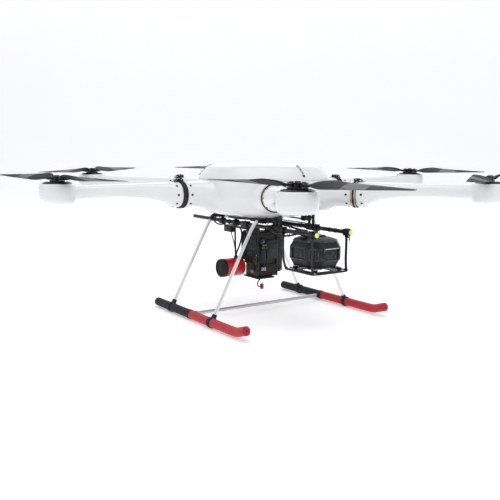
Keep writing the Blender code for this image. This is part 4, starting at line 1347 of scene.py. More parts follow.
# ================================================================ belly plate
def ring_plate(part, outer, inner, bottom, top):
    """A plate with one hole: both outlines have the same number of points."""
    count = len(outer)
    edge = 0.7
    centre_x = sum(point[0] for point in outer) / count
    centre_y = sum(point[1] for point in outer) / count

    def grown(outline, distance):
        result = []
        for x, y in outline:
            offset = Vector((x - centre_x, y - centre_y))
            offset = offset * (1 + distance / offset.length)
            result.append((offset.x + centre_x, offset.y + centre_y))
        return result

    rows = [
        (grown(outer, -edge), bottom), (outer, bottom + edge), (outer, top - edge),
        (grown(outer, -edge), top), (grown(inner, edge), top), (inner, top - edge),
        (inner, bottom + edge), (grown(inner, edge), bottom),
    ]
    points = [(x, y, z) for outline, z in rows for x, y in outline]
    faces = []
    for k in range(len(rows)):
        low, high = k * count, (k + 1) % len(rows) * count
        for i in range(count):
            j = (i + 1) % count
            faces.append((low + i, low + j, high + j, high + i))
    part.put(points, faces)


def rail_clamp(part, x, y, half_length, height, wall_height):
    """A square clamp round a rail, from four plates."""
    front, rear = y - half_length, y + half_length
    for side in (-1, 1):
        low, high = sorted((side * 7.9, side * height))
        part.box((x - 11, front, RAIL_Z + low), (x + 11, rear, RAIL_Z + high), 1.0)
        low, high = sorted((side * 8.1, side * 11))
        part.box(
            (x + low, front, RAIL_Z - wall_height), (x + high, rear, RAIL_Z + wall_height), 0.8
        )


part = Shape(ALLOY_BLACK, DARK_STEEL)
ring_plate(
    part,
    superellipse(48, 104, 118, power=1, count=72, phase=0),
    superellipse(34, 46, 64, power=0.36, count=72, phase=0),
    -11.3, -2.5,
)
# spacers under the flat of the belly
for x, y in ((80, -10), (-80, -10), (80, 52), (-80, 52), (0, -50), (28, 104), (-28, 104)):
    spacer = [(0, -2.8), (6.4, -2.8), (6.4, -0.6), (5.8, -0.05), (0, -0.05)]
    part.lathe(spacer, 28, at=shift(x, y))
HANGER_Y = (72.0, 168.0)
for side in (-1, 1):
    x = side * RAIL_X
    for y in HANGER_Y:
        part.box((x - 4.5, y - 4.5, -20), (x + 4.5, y + 4.5, -3.6), 0.7)
        part.box((x - 7, y - 7, -14.2), (x + 7, y + 7, -11.0), 0.6)
        rail_clamp(part, x, y, half_length=9, height=11.5, wall_height=10.5)
    # leg sockets, and the flat bars that tie them to the plate
    for y, (start, stop) in zip(LEG_Y, ((-142, -10), (90, 167))):
        low, high = sorted((side * 86.5, side * 110))
        part.box((low, y - 11, -13), (high, y + 11, 5.0), 2.0, 3)
        low, high = sorted((side * 72, side * 92))
        part.box((low, start, -6.4), (high, stop, -2.8), 0.8)
part.use(DARK_STEEL)
for i in range(12):
    x, y = polar(1, 30 * i + 15)
    part.bolt((96 * x, 48 + 110 * y, -11.3), (0, 0, -1), 2.6, 1.5, 14)
for side in (-1, 1):
    for y in HANGER_Y:
        seats = [(side * RAIL_X, y + dy, RAIL_Z - 11.5) for dy in (-5.5, 5.5)]
        part.bolts(seats, (0, 0, -1), 1.9, 1.3, 12)
    for y in LEG_Y:
        seats = [(side * x, y + dy, -13) for x in (93, 105) for dy in (-7, 7)]
        part.bolts(seats, (0, 0, -1), 1.9, 1.2, 12)
        seats = [(side * 110, y + dy, -4) for dy in (-8.8, 8.8)]
        part.bolts(seats, (side, 0, 0), 1.4, 0.9, 12)
part.add("belly_plate", "airframe", replaces="payload_plate", slot="black_plastic")


# ================================================================ landing gear
def leg_shape(sleeve_points):
    """The left leg: tube, saddle clamp on the foam, and a black sleeve at its upper end.

    sleeve_points is where the sleeve starts, counted back from the end of the curve.
    """
    foot, knee = Vector((-SKID_X, 0, SKID_Z)), Vector((-150, 0, -30))
    ahead = (knee - foot).normalized()
    points = [foot + ahead * distance for distance in (17.2, 60, 150, 260)]
    points += [knee - ahead * distance for distance in (26, 16, 8)]
    points += [
        knee + Vector((6.6, 0, 9.0)), (-135, 0, -10.5), (-127, 0, LEG_TOP - 2.2),
        (-117, 0, LEG_TOP), (-108, 0, LEG_TOP), (-95, 0, LEG_TOP),
    ]
    part = Shape(ALLOY, RUBBER, DARK_STEEL)
    curve = smooth_path(points, 4)
    part.tube(curve, LEG_R, 20)
    part.use(RUBBER)
    sleeve = curve[-sleeve_points:-3]
    part.tube(sleeve, LEG_R + 1.5, 20)
    start = (sleeve[1] - sleeve[0]).normalized()
    part.tube([sleeve[0] - start * 1.5, sleeve[0] + start * 3], LEG_R + 2.4, 20)
    # saddle: a split collar with a pinch bolt, and a socket for the tube
    saddle = collar(FOAM_R + 0.7, FOAM_R + 3.2, 8, 0.6, 0.6)
    part.lathe(saddle, 40, at=aim(foot, (0, 1, 0)))
    radii = [LEG_R + 3.8, LEG_R + 2.8, LEG_R + 2.6, LEG_R + 1.8]
    part.tube([foot + ahead * distance for distance in (17.5, 19, 29.5, 31.2)], radii, 24)
    ears = (-SKID_X - 18.6, -SKID_X + 18.6)
    for x in ears:
        part.box((x - 2.6, -6.5, SKID_Z - 4.5), (x + 2.6, 6.5, SKID_Z + 4.5), 1.2)
    part.use(DARK_STEEL)
    for side in (-1, 1):
        seat = foot + ahead * 25 + Vector((0, side * (LEG_R + 2.4), 0))
        part.bolt(seat, (0, side, 0), 2.0, 1.4, 12)
    part.bolts([(x, 0, SKID_Z - 4.5) for x in ears], (0, 0, -1), 2.0, 1.2, 12)
    return part


for y, label, sleeve_points in zip(LEG_Y, ("front", "rear"), (12, 21)):
    left = leg_shape(sleeve_points)
    for part, side in ((left, "left"), (left.mirrored(), "right")):
        node = "leg_%s_%s" % (label, side)
        part.add(
            "gear_" + node, "airframe", place=shift(0, y), replaces=node, slot="bare_aluminium"
        )


def skid_path():
    """The front foam's centre line, from the joint forward to the raised tip."""
    points = [(SKID_JOINT - 7.7, 0), (-40, 0), (-90, 0), (-140, 0), (-190, 0), (-240, 0)]
    bend = [(26, 0.0), (8, 0.4), (-8, 2.2), (-22, 6.2), (-36, 10.8)]
    points += [(SKID_BEND + y, z) for y, z in bend]
    points += [(SKID_TIP_Y + 12, SKID_TIP_RISE - 3.6), (SKID_TIP_Y, SKID_TIP_RISE)]
    return smooth_path([(0, y, z) for y, z in points], 5)


def foam_sleeve(path, offset):
    """Rings of a foam tube: it swells and dips a little, and pinches at the saddles.

    offset moves the noise, so that the sleeves differ.
    """
    side = Vector((1, 0, 0))
    count, last = 36, len(path) - 1
    insets = [3.2, 0.9, 0.0] + [0.0] * (len(path) - 6) + [0.0, 0.8, 3.4]
    rings = []
    for k, (point, ahead, inset) in enumerate(zip(path, headings(path), insets)):
        up = side.cross(ahead)
        pinch = -0.9 * sum(math.exp(-(((point.y - y) / 11) ** 2)) for y in LEG_Y)
        ring = []
        for i in range(count):
            angle = 2 * math.pi * i / count
            cos, sin = math.cos(angle), math.sin(angle)
            radius = FOAM_R - inset + pinch
            if 2 < k < last - 2:
                place = Vector((cos * 1.3 + offset, point.y * 0.03, sin * 1.3))
                radius += 0.35 * noise.noise(place)
            ring.append(point + radius * (cos * side + sin * up))
        rings.append(ring)
    return rings


def dense(path, step):
    """The same path with points about one step apart."""
    points = [Vector(point) for point in path]
    result = []
    for start, stop in zip(points, points[1:]):
        count = max(1, round((stop - start).length / step))
        result += [start + (stop - start) * (i / count) for i in range(count)]
    return result + [points[-1]]


def foam_front_mesh():
    path = dense(skid_path(), 4.0)
    start, tip = path[0], path[-1]
    ahead = (tip - path[-2]).normalized()
    path = [start, start + Vector((0, -0.8, 0)), start + Vector((0, -2.6, 0))] + path[1:-1]
    path += [tip - ahead * 3.2, tip - ahead * 0.9, tip]
    base = Shape().loft(foam_sleeve(path, offset=3.1)).mesh("foam_front")
    bore = [(6 + SKID_JOINT, 0), (SKID_BEND + 14, 0.0), (SKID_BEND, 1.2),
            (SKID_BEND - 14, 4.2), (SKID_BEND - 42, 12.9)]
    bore = Shape().tube([(0, y, z) for y, z in bore], 6.6, 20).mesh("bore")
    end = Shape().tube(
        [(0, SKID_TIP_Y + 16, SKID_TIP_RISE - 4.5), (0, SKID_TIP_Y - 8, SKID_TIP_RISE + 2.3)],
        3.2, 20,
    ).mesh("end")
    return boolean(base, [("DIFFERENCE", bore), ("DIFFERENCE", end)], 50.0)


def foam_rear_mesh():
    path = dense([(0, SKID_REAR, 0), (0, SKID_JOINT + 7.7, 0)], 4.0)
    start, stop = path[0], path[-1]
    path = [start, start + Vector((0, -0.9, 0)), start + Vector((0, -3.0, 0))] + path[1:-1]
    path += [stop + Vector((0, 2.6, 0)), stop + Vector((0, 0.8, 0)), stop]
    base = Shape().loft(foam_sleeve(path, offset=8.4)).mesh("foam_rear")
    bore = Shape().tube([(0, SKID_REAR - 6, 0), (0, SKID_JOINT - 6, 0)], 6.6, 20).mesh("bore")
    return boolean(base, [("DIFFERENCE", bore)], 50.0)


FRONT_FOAM, REAR_FOAM = foam_front_mesh(), foam_rear_mesh()
skid_line = [
    (0, SKID_REAR - 7, 0), (0, SKID_BEND + 14, 0), (0, SKID_BEND, 1.2),
    (0, SKID_BEND - 14, 4.2), (0, SKID_BEND - 40, 12.2),
]
SKID_TUBE = Shape().tube(skid_line, 6.0, 24).mesh("skid_tube")
for side, label in ((-1, "left"), (1, "right")):
    for name, mesh, material, node, slot in (
        ("skid_core_", SKID_TUBE, ALLOY, "skid_tube_", "bare_aluminium"),
        ("sleeve_rear_", REAR_FOAM, FOAM_BLACK, "foam_rear_", "black_foam"),
        ("sleeve_front_", FRONT_FOAM, FOAM_RED, "foam_front_", "red_foam"),
    ):
        piece(
            name + label, mesh, [material], "airframe", shift(side * SKID_X, 0, SKID_Z),
            replaces=node + label, slot=slot,
        )

# the bar between the skids, with a clamp and a stepped sleeve at each end
# the bar's aluminium is a darker copy of the legs': painted shade
part = Shape(ALLOY_SHADED, RUBBER, DARK_STEEL)
part.tube([(-SKID_X + 14, SKID_JOINT, SKID_Z), (SKID_X - 14, SKID_JOINT, SKID_Z)], 7.0, 28)
part.use(RUBBER)
for side in (-1, 1):
    joint = aim((side * SKID_X, SKID_JOINT, SKID_Z), (0, 1, 0))
    part.lathe(collar(6.6, 17.8, 7.3, 0.6, 0.6), 48, at=joint)
    part.lathe(
        [(0, 0), (10.2, 0), (10.2, 10), (9.7, 12), (8.8, 14), (7.1, 14), (7.1, 6), (0, 6)],
        36, at=aim((side * (SKID_X - 14), SKID_JOINT, SKID_Z), (-side, 0, 0)),
    )
part.use(DARK_STEEL)
for side in (-1, 1):
    for face in (-1, 1):
        seat = (side * (SKID_X - 21), SKID_JOINT + face * 10.0, SKID_Z)
        part.bolt(seat, (0, face, 0), 1.9, 1.0, 12)
part.add("cross_bar", "airframe", replaces="cross_tube", slot="bare_aluminium")

# ================================================================ front payload: cradle
part = Shape(ALLOY_BLACK, TAPE, DARK_STEEL, RUBBER, ALLOY)
ring_plate(
    part, superellipse(-322, 80, 78, power=0.14), superellipse(-322, 40, 40, power=0.2),
    TRAY_Z - 3, TRAY_Z,
)
# lips along the tray's sides, and bosses at its corners
for side in (-1, 1):
    x = side * 79.6
    part.box((x - 1.2, -392, TRAY_Z - 3.2), (x + 1.2, -252, TRAY_Z + 4.6), 0.5)
    part.use(ALLOY)
    for y in (-257, -387):
        part.lathe(
            [(0, -2), (7.4, -2), (7.4, 1.4), (6.6, 2.2), (3.4, 2.2), (2.8, 1.2), (0, 1.2)],
            28, at=shift(side * 64, y, TRAY_Z),
        )
    part.use(ALLOY_BLACK)
for y in (-399, -245):
    part.box((-60, y - 1.0, TRAY_Z - 3.4), (60, y + 1.0, TRAY_Z + 3.4), 0.5)
# y at the rail, y at the tray, and points between: outwards from the rail, along y, z.
# The rear straps hang straight and then curve forward, and the front straps crinkle slightly.
STRAPS = (
    (-228.0, -249.0, [(0, -0.5, -60), (0, -1.0, -100), (0.4, -4.0, -130), (0, -11.0, -152)]),
    (-388.0, -391.0, [(0.6, 0.6, -60), (-0.7, -0.8, -92), (0.8, 1.0, -122), (-0.2, -1.5, -148)]),
)
for side in (-1, 1):
    x = side * RAIL_X
    for y, foot, between in STRAPS:
        part.use(TAPE)
        line = [(x + side * out, y + dy, z) for out, dy, z in between]
        line = [(x, y, RAIL_Z - 8)] + line + [(x, foot, TRAY_Z - 1)]
        part.strap(smooth_path(line), 10.8, 3.2, 0.5)
        part.use(ALLOY_BLACK)
        rail_clamp(part, x, y, half_length=8, height=12, wall_height=11)
        part.box((x - 3.4, y - 6.2, RAIL_Z - 20), (x + 3.4, y + 6.2, RAIL_Z - 11.5), 0.7)
        part.box((x - 3.0, foot - 5.6, TRAY_Z - 2.6), (x + 3.0, foot + 5.6, TRAY_Z + 7.5), 0.8)
        part.use(DARK_STEEL)
        for dy in (-4.6, 4.6):
            for up in (1, -1):
                part.bolt((x, y + dy, RAIL_Z + up * 12), (0, 0, up), 1.9, 1.4, 12)
        part.bolt((x + side * 3.0, foot, TRAY_Z + 4), (side, 0, 0), 1.8, 1.3, 12)
# rubber ball dampers between two washers, each with a small plate and its screws
BALL = [
    (0, 1.2), (5.2, 1.2), (6.4, 2.4), (9.2, 4.8), (10.0, 8.0), (9.2, 11.0), (6.4, 13.2),
    (5.4, 14.2), (0, 14.2),
]
LOWER_WASHER = [(0, -0.2), (9.4, -0.2), (9.8, 0.2), (9.8, 1.0), (9.2, 1.4), (0, 1.4)]
UPPER_WASHER = [(0, 14.0), (7.4, 14.0), (8.0, 14.5), (8.0, 15.4), (7.4, 15.9), (0, 15.9)]
for x in (-55, 55):
    for y in (-378, -274):
        for material, profile in ((RUBBER, BALL), (ALLOY, LOWER_WASHER), (ALLOY, UPPER_WASHER)):
            part.use(material)
            part.lathe(profile, 32, closed=False, at=shift(x, y, TRAY_Z))
        part.box((x - 12, y - 12, TRAY_Z + 14.2), (x + 12, y + 12, TRAY_Z + 15.8), 0.5)
        part.use(DARK_STEEL)
        seats = [(x + dx, y, TRAY_Z + 14.2) for dx in (-8.6, 8.6)]
        part.bolts(seats, (0, 0, -1), 1.6, 0.9, 12)
        part.bolt((x, y, TRAY_Z - 3), (0, 0, -1), 2.6, 1.6, 14)
part.add("cradle_frame", "airframe", replaces="cradle", slot="black_alloy")

# ================================================================ front payload: camera case
CASE_W, CASE_L, CASE_C = 77.0, 87.0, 42.0  # half width, half length, corner cut
# height of each ring of the case and its scale
CASE_ROWS = [
    (-149.6, 0.83), (-148.7, 0.85), (-144.4, 0.877), (-134, 0.935), (-124.4, 0.988),
    (-121.4, 1.0), (-104, 1.0), (-82, 1.0), (-78.4, 0.994), (-74, 0.966), (-63, 0.892),
    (-59.8, 0.872), (-57, 0.852), (-54.5, 0.78), (-50, 0.62), (-48.6, 0.56), (-48, 0.5),
]
LID_ROWS = [(-61.5, 0.893), (-60.6, 0.9), (-58.8, 0.9), (-58.0, 0.885), (-58.0, 0.82)]


def case_corners(scale=1.0):
    """The eight corners about the case's centre, starting at the front left."""
    x, y, cut = CASE_W * scale, CASE_L * scale, CASE_C * scale
    return [
        (-x + cut, -y), (x - cut, -y), (x, -y + cut), (x, y - cut), (x - cut, y), (-x + cut, y),
        (-x, y - cut), (-x, -y + cut),
    ]


def case_ring(z, scale, soft=5.0):
    outline = soften(case_corners(scale), soft, 4, closed=True)
    return [(point.x, CASE_Y + point.y, z) for point in outline]


def case_mesh():
    """The case, with a pocket 3 mm deep in each of its four flat faces."""
    base = Shape().loft([case_ring(*row) for row in CASE_ROWS]).mesh("case", 30)
    steps = []
    for side in (-1, 1):
        for wide, at in (
            (31, shift(0, CASE_Y + side * (CASE_L + 7.0)) @ turn(90, "X")),
            (34, shift(side * (CASE_W + 7.0), CASE_Y) @ turn(90) @ turn(90, "X")),
        ):
            outline = [(-wide, -120.5), (wide, -120.5), (wide, -83), (-wide, -83)]
            cut = Shape().prism(soften(outline, 5, 4, closed=True), -10, 10, 0, at=at)
            steps.append(("DIFFERENCE", cut.mesh("pocket")))
    return boolean(base, steps, 30.0)


piece(
    "camera_body", case_mesh(), [GREY], "airframe", replaces="camera_case", slot="grey_plastic",
    bevel=0.8,
)


def case_face(face, along=0.0):
    """The frame of one of the case's faces: x along it, y up, z outwards. Face 0 is in front."""
    corners = [Vector(corner) for corner in case_corners()]
    start, stop = corners[face], corners[(face + 1) % 8]
    ahead = (stop - start).normalized()
    point = (start + stop) / 2 + ahead * along
    axes = Matrix(((ahead.x, ahead.y, 0), (0, 0, 1), (ahead.y, -ahead.x, 0)))
    return shift(point.x, point.y + CASE_Y) @ axes.transposed().to_4x4()


part = Shape(GREY, MID_GREY, DARK_STEEL, STEEL)
for face in range(8):
    part.use(GREY)
    if face % 2:  # the chamfer faces carry upright ribs between two bars
        for along in (-20, -10, 0, 10, 20):
            part.matrix = case_face(face, along)
            part.box((-1.9, -120.4, -1.2), (1.9, -83.6, 2.2), 0.8)
        part.matrix = case_face(face)
        part.box((-24, -123.2, -1.4), (24, -120.2, 2.2), 0.9)
        part.box((-24, -83.8, -1.2), (24, -80.8, 2.2), 0.9)
        continue
    # the flat faces carry a raised frame round a sunken, ribbed panel
    part.matrix = case_face(face)
    wide = 31 if face in (0, 4) else 34
    part.box((-wide - 3, -123.6, -1.4), (wide + 3, -120.0, 2.0), 0.8)
    if face == 0:  # the front panel's upper bar alone is steel: a painted highlight along that panel's top edge
        part.use(STEEL)
    part.box((-wide - 3, -83.6, -1.0), (wide + 3, -80, 2.0), 0.8)
    part.use(GREY)
    part.box((-wide - 3, -122, -1.0), (-wide + 0.4, -82, 2.0), 0.8)
    part.box((wide - 0.4, -122, -1.0), (wide + 3, -82, 2.0), 0.8)
    part.use(MID_GREY)
    part.box((-wide + 5, -118, -4.2), (wide - 5, -88, -1.6), 1.0)
    part.use(GREY)
    for i in range(-3, 4):
        part.box((i * 6.4 - 1.1, -114, -2.4), (i * 6.4 + 1.1, -92, -0.2), 0.5)
    part.use(DARK_STEEL)
    seats = [(side * (wide + 1.2), y, 2.0) for side in (-1, 1) for y in (-121.8, -81.8)]
    part.bolts(seats, (0, 0, 1), 1.7, 0.9, 12)
part.add("camera_panels", "airframe")

# the lid with a stepped hump and four connectors, and a lens that looks down
part = Shape(GREY, STEEL, BLACK, GLASS)
part.loft([case_ring(z, scale, soft=4) for z, scale in LID_ROWS])
part.box((-30, CASE_Y - 22, -52), (30, CASE_Y + 34, -42.5), 3.0, 3)
part.box((-22, CASE_Y + 6, -45), (22, CASE_Y + 30, -38.4), 2.0, 3)
part.use(STEEL)
for x in (-15, -5, 5, 15):
    part.lathe(
        [(0, -1), (4.2, -1), (4.2, 2.2), (3.6, 3.0), (2.6, 3.0), (2.4, 0.4), (0, 0.4)],
        20, closed=False, at=shift(x, CASE_Y + 18, -39),
    )
for side in (-1, 1):
    for end in (-1, 1):
        part.bolt((side * 25, CASE_Y + 6 + end * 24, -42.6), (0, 0, 1), 2.0, 1.4, 12)
        part.bolt((side * 44, CASE_Y + end * 52, -55.2), (0, 0, 1), 2.2, 1.4, 12)
part.matrix = shift(0, CASE_Y, -149.4) @ turn(180, "X")
part.use(BLACK)
part.lathe(
    [(18, -2), (27, -2), (28.5, 0), (28.5, 14), (27, 15.4), (22, 15.4), (20.8, 12), (20, 4),
     (18, 2)],
    64,
)
part.use(GLASS)
part.lathe([(0, 0), (19.6, 0), (20.2, 5.0), (16, 8.0), (8, 9.8), (0, 10.4)], 64, closed=False)
part.add("camera_top_and_lens", "airframe")

# ================================================================ front payload: cables and tabs
part = Shape(CABLE, BLACK, CABLE_GREY)
# a dark bundle runs from the case's lid up past the left rail to the belly
BUNDLE = [
    (-22, CASE_Y + 22, -30), (-38, CASE_Y + 25, -27), (-52, CASE_Y + 40, -22),
    (-56, CASE_Y + 80, -16), (-50, CASE_Y + 130, -15), (-40, -120, -14), (-30, -60, -12),
]
for k, (dx, dz) in enumerate(((-4, 0), (0, 2.4), (4, 0), (0, -2.4))):
    line = [(x + dx, y, z + dz) for x, y, z in BUNDLE]
    line = [(-15 + 10 * (k % 3), CASE_Y + 18, -37)] + line + [(-24 + dx, -40, -6 + dz)]
    part.wire(line, 1.7)
part.wire(
    [(14, CASE_Y + 18, -37), (26, CASE_Y + 14, -30), (44, CASE_Y + 18, -27),
     (60, CASE_Y + 40, -22), (64, CASE_Y + 90, -18), (50, -150, -14), (38, -80, -12),
     (30, -44, -6)],
    2.2,
)
# a stout corrugated hose from the left rail, curving down and forward to the case
hose = smooth_path(
    [(-90, -150, -22), (-94, -172, -32), (-93, -200, -41), (-88, -226, -48.5), (-74, -252, -48),
     (-62, -274, -42), (-50, -290, -38)],
    8,
)
part.tube(hose, [3.4 + 0.55 * math.sin(k * 1.57) for k in range(len(hose))], 14)
# two small loops hang off the left rail
for y in (-170, -244):
    part.wire(
        [(-70, y + 8, -34), (-66, y + 7, -42), (-66, y, -48), (-67, y - 7, -43),
         (-70, y - 8, -34)],
        1.5,
    )
part.use(BLACK)
part.boxes(
    ((-60, CASE_Y + 12, -40), (-38, CASE_Y + 30, -26), 2.4, 3),
    ((-56, CASE_Y - 2, -46), (-36, CASE_Y + 12, -34), 2.0, 3),
    ((-47, CASE_Y + 30, -36), (-33, CASE_Y + 44, -27), 1.6),
)
part.use(CABLE_GREY)
for y in (-270, -240, -172, -100):
    tie = [(5.4, -1.6), (6.3, -1.6), (6.3, 1.6), (5.4, 1.6)]
    part.lathe(tie, 20, at=aim((-54, y, -18.5), (0, 1, 0)))
part.add("camera_cables", "airframe")

# a ring under each rail's neon cap, with a short tail: offsets from the rail's front end
TAILS = {
    -1: [(3, 12, -15), (8, 11, -18.5), (15, 9, -20), (20, 10, -19)],
    1: [(0, 12, -18), (1, 10, -23), (-1, 9, -29)],
}
part = Shape(BLACK, TAPE)
for side, tail in TAILS.items():
    rail_x = side * RAIL_X
    part.use(BLACK)
    hang = aim((rail_x, RAIL_FRONT + 12, RAIL_Z - 13.6), (0, 1, 0))
    part.lathe(collar(3.2, 5.4, 2.2, 0.6, 0.7), 28, at=hang)
    part.use(TAPE)
    line = [(rail_x + x, RAIL_FRONT + y, RAIL_Z + z) for x, y, z in tail]
    part.strap(smooth_path(line), 5.0, 1.1, 0.3)
part.add("neon_tabs", "airframe")

# ================================================================ rear payload: electronics block
# the outer faces of the pair of cheek plates
LEFT, RIGHT, FRONT, BACK, BOTTOM, TOP = -46.0, 50.0, -36.0, 46.0, -236.0, -46.0
part = Shape(BLACK, MID_GREY, DARK_STEEL, STEEL)
part.boxes(
    # the cheeks, the head and foot between them, the sole, and plates on the left cheek
    ((LEFT, FRONT, BOTTOM), (LEFT + 7, BACK, TOP), 1.6),
    ((RIGHT - 7, FRONT, BOTTOM), (RIGHT, BACK, TOP), 1.6),
    ((LEFT + 5, FRONT + 6, -190), (RIGHT - 5, BACK - 4, -62), 3.0, 3),
    ((LEFT + 5, FRONT + 2, BOTTOM + 1), (RIGHT - 5, BACK - 2, -188), 2.6, 3),
    ((LEFT - 8, FRONT - 12, BOTTOM - 5), (RIGHT - 24, BACK + 6, BOTTOM + 0.8), 1.2),
    ((LEFT - 3.0, FRONT + 10, -170), (LEFT + 1, BACK - 10, -66), 1.2),
)
for z in (-92, -118, -144):
    part.box((LEFT - 5.4, FRONT + 16, z - 8), (LEFT - 2, BACK - 16, z + 8), 1.4)
# ribs down the rear face, and a finned unit on the right
for k in range(9):
    z = -84 - 14 * k
    part.box((LEFT + 6, BACK - 5, z - 2), (RIGHT - 6, BACK + 0.6, z + 2), 0.8)
part.box((RIGHT - 4, FRONT + 5, -222), (RIGHT + 19, BACK - 6, -72), 2.4, 3)
for k in range(13):
    y = FRONT + 8.5 + 5.1 * k
    part.box((RIGHT + 16, y - 1.1, -218), (RIGHT + 27, y + 1.1, -76), 0.6, 1)
part.box((RIGHT + 16, FRONT + 6, -148), (RIGHT + 26.2, BACK - 7, -143), 0.8)
# a second unit stands behind the cheeks, with a ribbed back
part.box((LEFT - 8, BACK - 4, -176), (LEFT + 40, BACK + 23, -66), 2.6, 3)
for k in range(7):
    x = LEFT + 6.4 * k
    part.box((x - 4, BACK + 20, -170), (x - 1.6, BACK + 26, -72), 0.7)
part.boxes(
    # two panels on the second unit's left and one on its top
    ((LEFT - 10.4, BACK + 2, -164), (LEFT - 6, BACK + 18, -120), 1.4),
    ((LEFT - 10.4, BACK + 2, -112), (LEFT - 6, BACK + 18, -78), 1.4),
    ((LEFT - 4, BACK + 1, -68), (LEFT + 36, BACK + 18, -61), 1.6),
    # the cross plate under the rails, an arm back along the left rail and the box below it
    ((-88, -14, TOP - 3), (88, 26, TOP + 3), 1.0),
    ((-86, 10, TOP - 3), (-64, 146, TOP + 2), 1.0),
    ((-88, 92, -70), (-62, 142, TOP - 1), 2.0, 3),
    ((LEFT - 9, 30, -186), (LEFT + 4, 44, -160), 1.4),
)
for x in (-RAIL_X, RAIL_X):  # clamps round the rails
    part.boxes(
        ((x - 11, -12, TOP - 2), (x + 11, 24, RAIL_Z - 8.0), 1.2),
        ((x - 11, -12, RAIL_Z + 8.0), (x + 11, 24, RAIL_Z + 11), 1.0),
        ((x - 11, -12, RAIL_Z - 10), (x - 8.2, 24, RAIL_Z + 10), 1.0),
        ((x + 8.2, -12, RAIL_Z - 10), (x + 11, 24, RAIL_Z + 10), 1.0),
    )
part.use(MID_GREY)
part.boxes(
    # the stepped front cover, and small housings at the front and on the left
    ((LEFT + 40, FRONT - 2.2, -168), (RIGHT - 2, FRONT + 7, -92), 2.0, 3),
    ((LEFT + 44, FRONT - 4.0, -150), (RIGHT - 14, FRONT - 1, -108), 1.2),
    ((LEFT + 10, FRONT - 1.4, -182), (LEFT + 37, FRONT + 7, -126), 1.8),
    ((LEFT + 9, FRONT - 6, -212), (LEFT + 34, FRONT + 6, -192), 1.6),
    ((LEFT - 6.2, FRONT + 20, -212), (LEFT + 1, FRONT + 44, -186), 1.6),
)
part.use(DARK_STEEL)
seats = [(x, FRONT - 2.2, z) for z in (-165, -95) for x in (LEFT + 43, RIGHT - 5)]
part.bolts(seats, (0, -1, 0), 1.8, 1.2, 12)
for y in (FRONT + 6, BACK - 6):
    for z in (-228, -200, -120, -60):
        part.bolt((LEFT, y, z), (-1, 0, 0), 2.3, 1.6, 14)
        part.bolt((RIGHT, y, z), (1, 0, 0), 2.3, 1.6, 14)
for side in (-1, 1):
    seats = [(side * RAIL_X + dx, y, RAIL_Z + 11) for y in (-7, 19) for dx in (7.6, -7.6)]
    part.bolts(seats, (0, 0, 1), 2.0, 1.4, 12)
part.bolts([(-75, y, TOP + 2) for y in (100, 134)], (0, 0, 1), 2.2, 1.4, 12)
seats = [(LEFT - 10.4, BACK + 10, z) for z in (-158, -126, -106, -84)]
part.bolts(seats, (-1, 0, 0), 1.9, 1.2, 12)
seats = [(x, BACK + 23, z) for z in (-70, -172) for x in (LEFT - 5, LEFT + 37)]
part.bolts(seats, (0, 1, 0), 1.7, 1.2, 12)
part.use(STEEL)  # dished studs on the left cheek
for y, z, radius in ((2, -216, 6.5), (-14, -82, 4.4), (BACK - 8, -66, 4.0), (-22, -150, 3.6)):
    part.lathe(
        [(0, -1), (radius, -1), (radius + 1.4, -0.4), (radius + 1.4, 1.6), (radius + 0.8, 2.2),
         (radius, 2.2), (radius - 0.6, 1.0), (0, 0.8)],
        32, closed=False, at=aim((LEFT - 0.4, y, z), (-1, 0, 0)),
    )
part.add("sensor_block", "rear_payload", replaces="sensor_module", slot="grey_plastic")

# two lenses that look forward, the smaller one lower down
part = Shape(BLACK, GLASS)
for point, radius in (
    ((LEFT + 23, FRONT - 0.6, -98), 13.0), ((LEFT + 21, FRONT - 6.0, -202), 6.4)
):
    part.matrix = aim(point, (0, -1, 0))
    part.use(BLACK)
    part.lathe(
        [(radius * 0.78, -6), (radius, -6), (radius + 1.0, -5), (radius + 1.0, 2.6),
         (radius + 0.4, 3.4), (radius * 0.86, 3.4), (radius * 0.78, 1.4)],
        48,
    )
    part.use(GLASS)
    part.lathe(
        [(0, -4), (radius * 0.8, -4), (radius * 0.8, -0.6), (radius * 0.5, 1.0), (0, 1.6)],
        48, closed=False,
    )
part.add("sensor_lenses", "rear_payload")

# small boards and connectors
part = Shape(BOARD, BLACK, GREY, STEEL)
part.box((LEFT - 6.5, FRONT + 4, -186), (LEFT - 4.7, FRONT + 24, -158), 0.3, 1)
part.box((LEFT + 12, FRONT - 8.4, -124), (LEFT + 36, FRONT - 7.0, -108), 0.3, 1)
part.use(BLACK)
for k in range(5):
    y, z = FRONT + 6.2 + 3.4 * k, -183 + 4 * (k % 2)
    part.box((LEFT - 8.6, y, z), (LEFT - 6.2, y + 2.4, z + 7), 0.3, 1)
part.box((LEFT - 9.4, FRONT + 7, -170), (LEFT - 6.2, FRONT + 20, -162), 0.5)
part.use(GREY)
part.box((LEFT + 13, FRONT - 11.5, -121), (LEFT + 21, FRONT - 8.0, -111), 0.6)
part.box((LEFT + 24, FRONT - 11.5, -121), (LEFT + 34, FRONT - 8.0, -113), 0.6)
part.use(STEEL)
for k in range(4):
    x = LEFT + 12 + 5.2 * k
    part.box((x, FRONT - 8.8, -210), (x + 3.4, FRONT - 5.6, -196), 0.5)
part.add("sensor_boards", "rear_payload")

# ---------------------------------------------------------------- the drum, its axis along X
DRUM_LEFT, DRUM_RIGHT, DRUM_Y, DRUM_Z = -157.0, -58.0, 62.0, -203.0
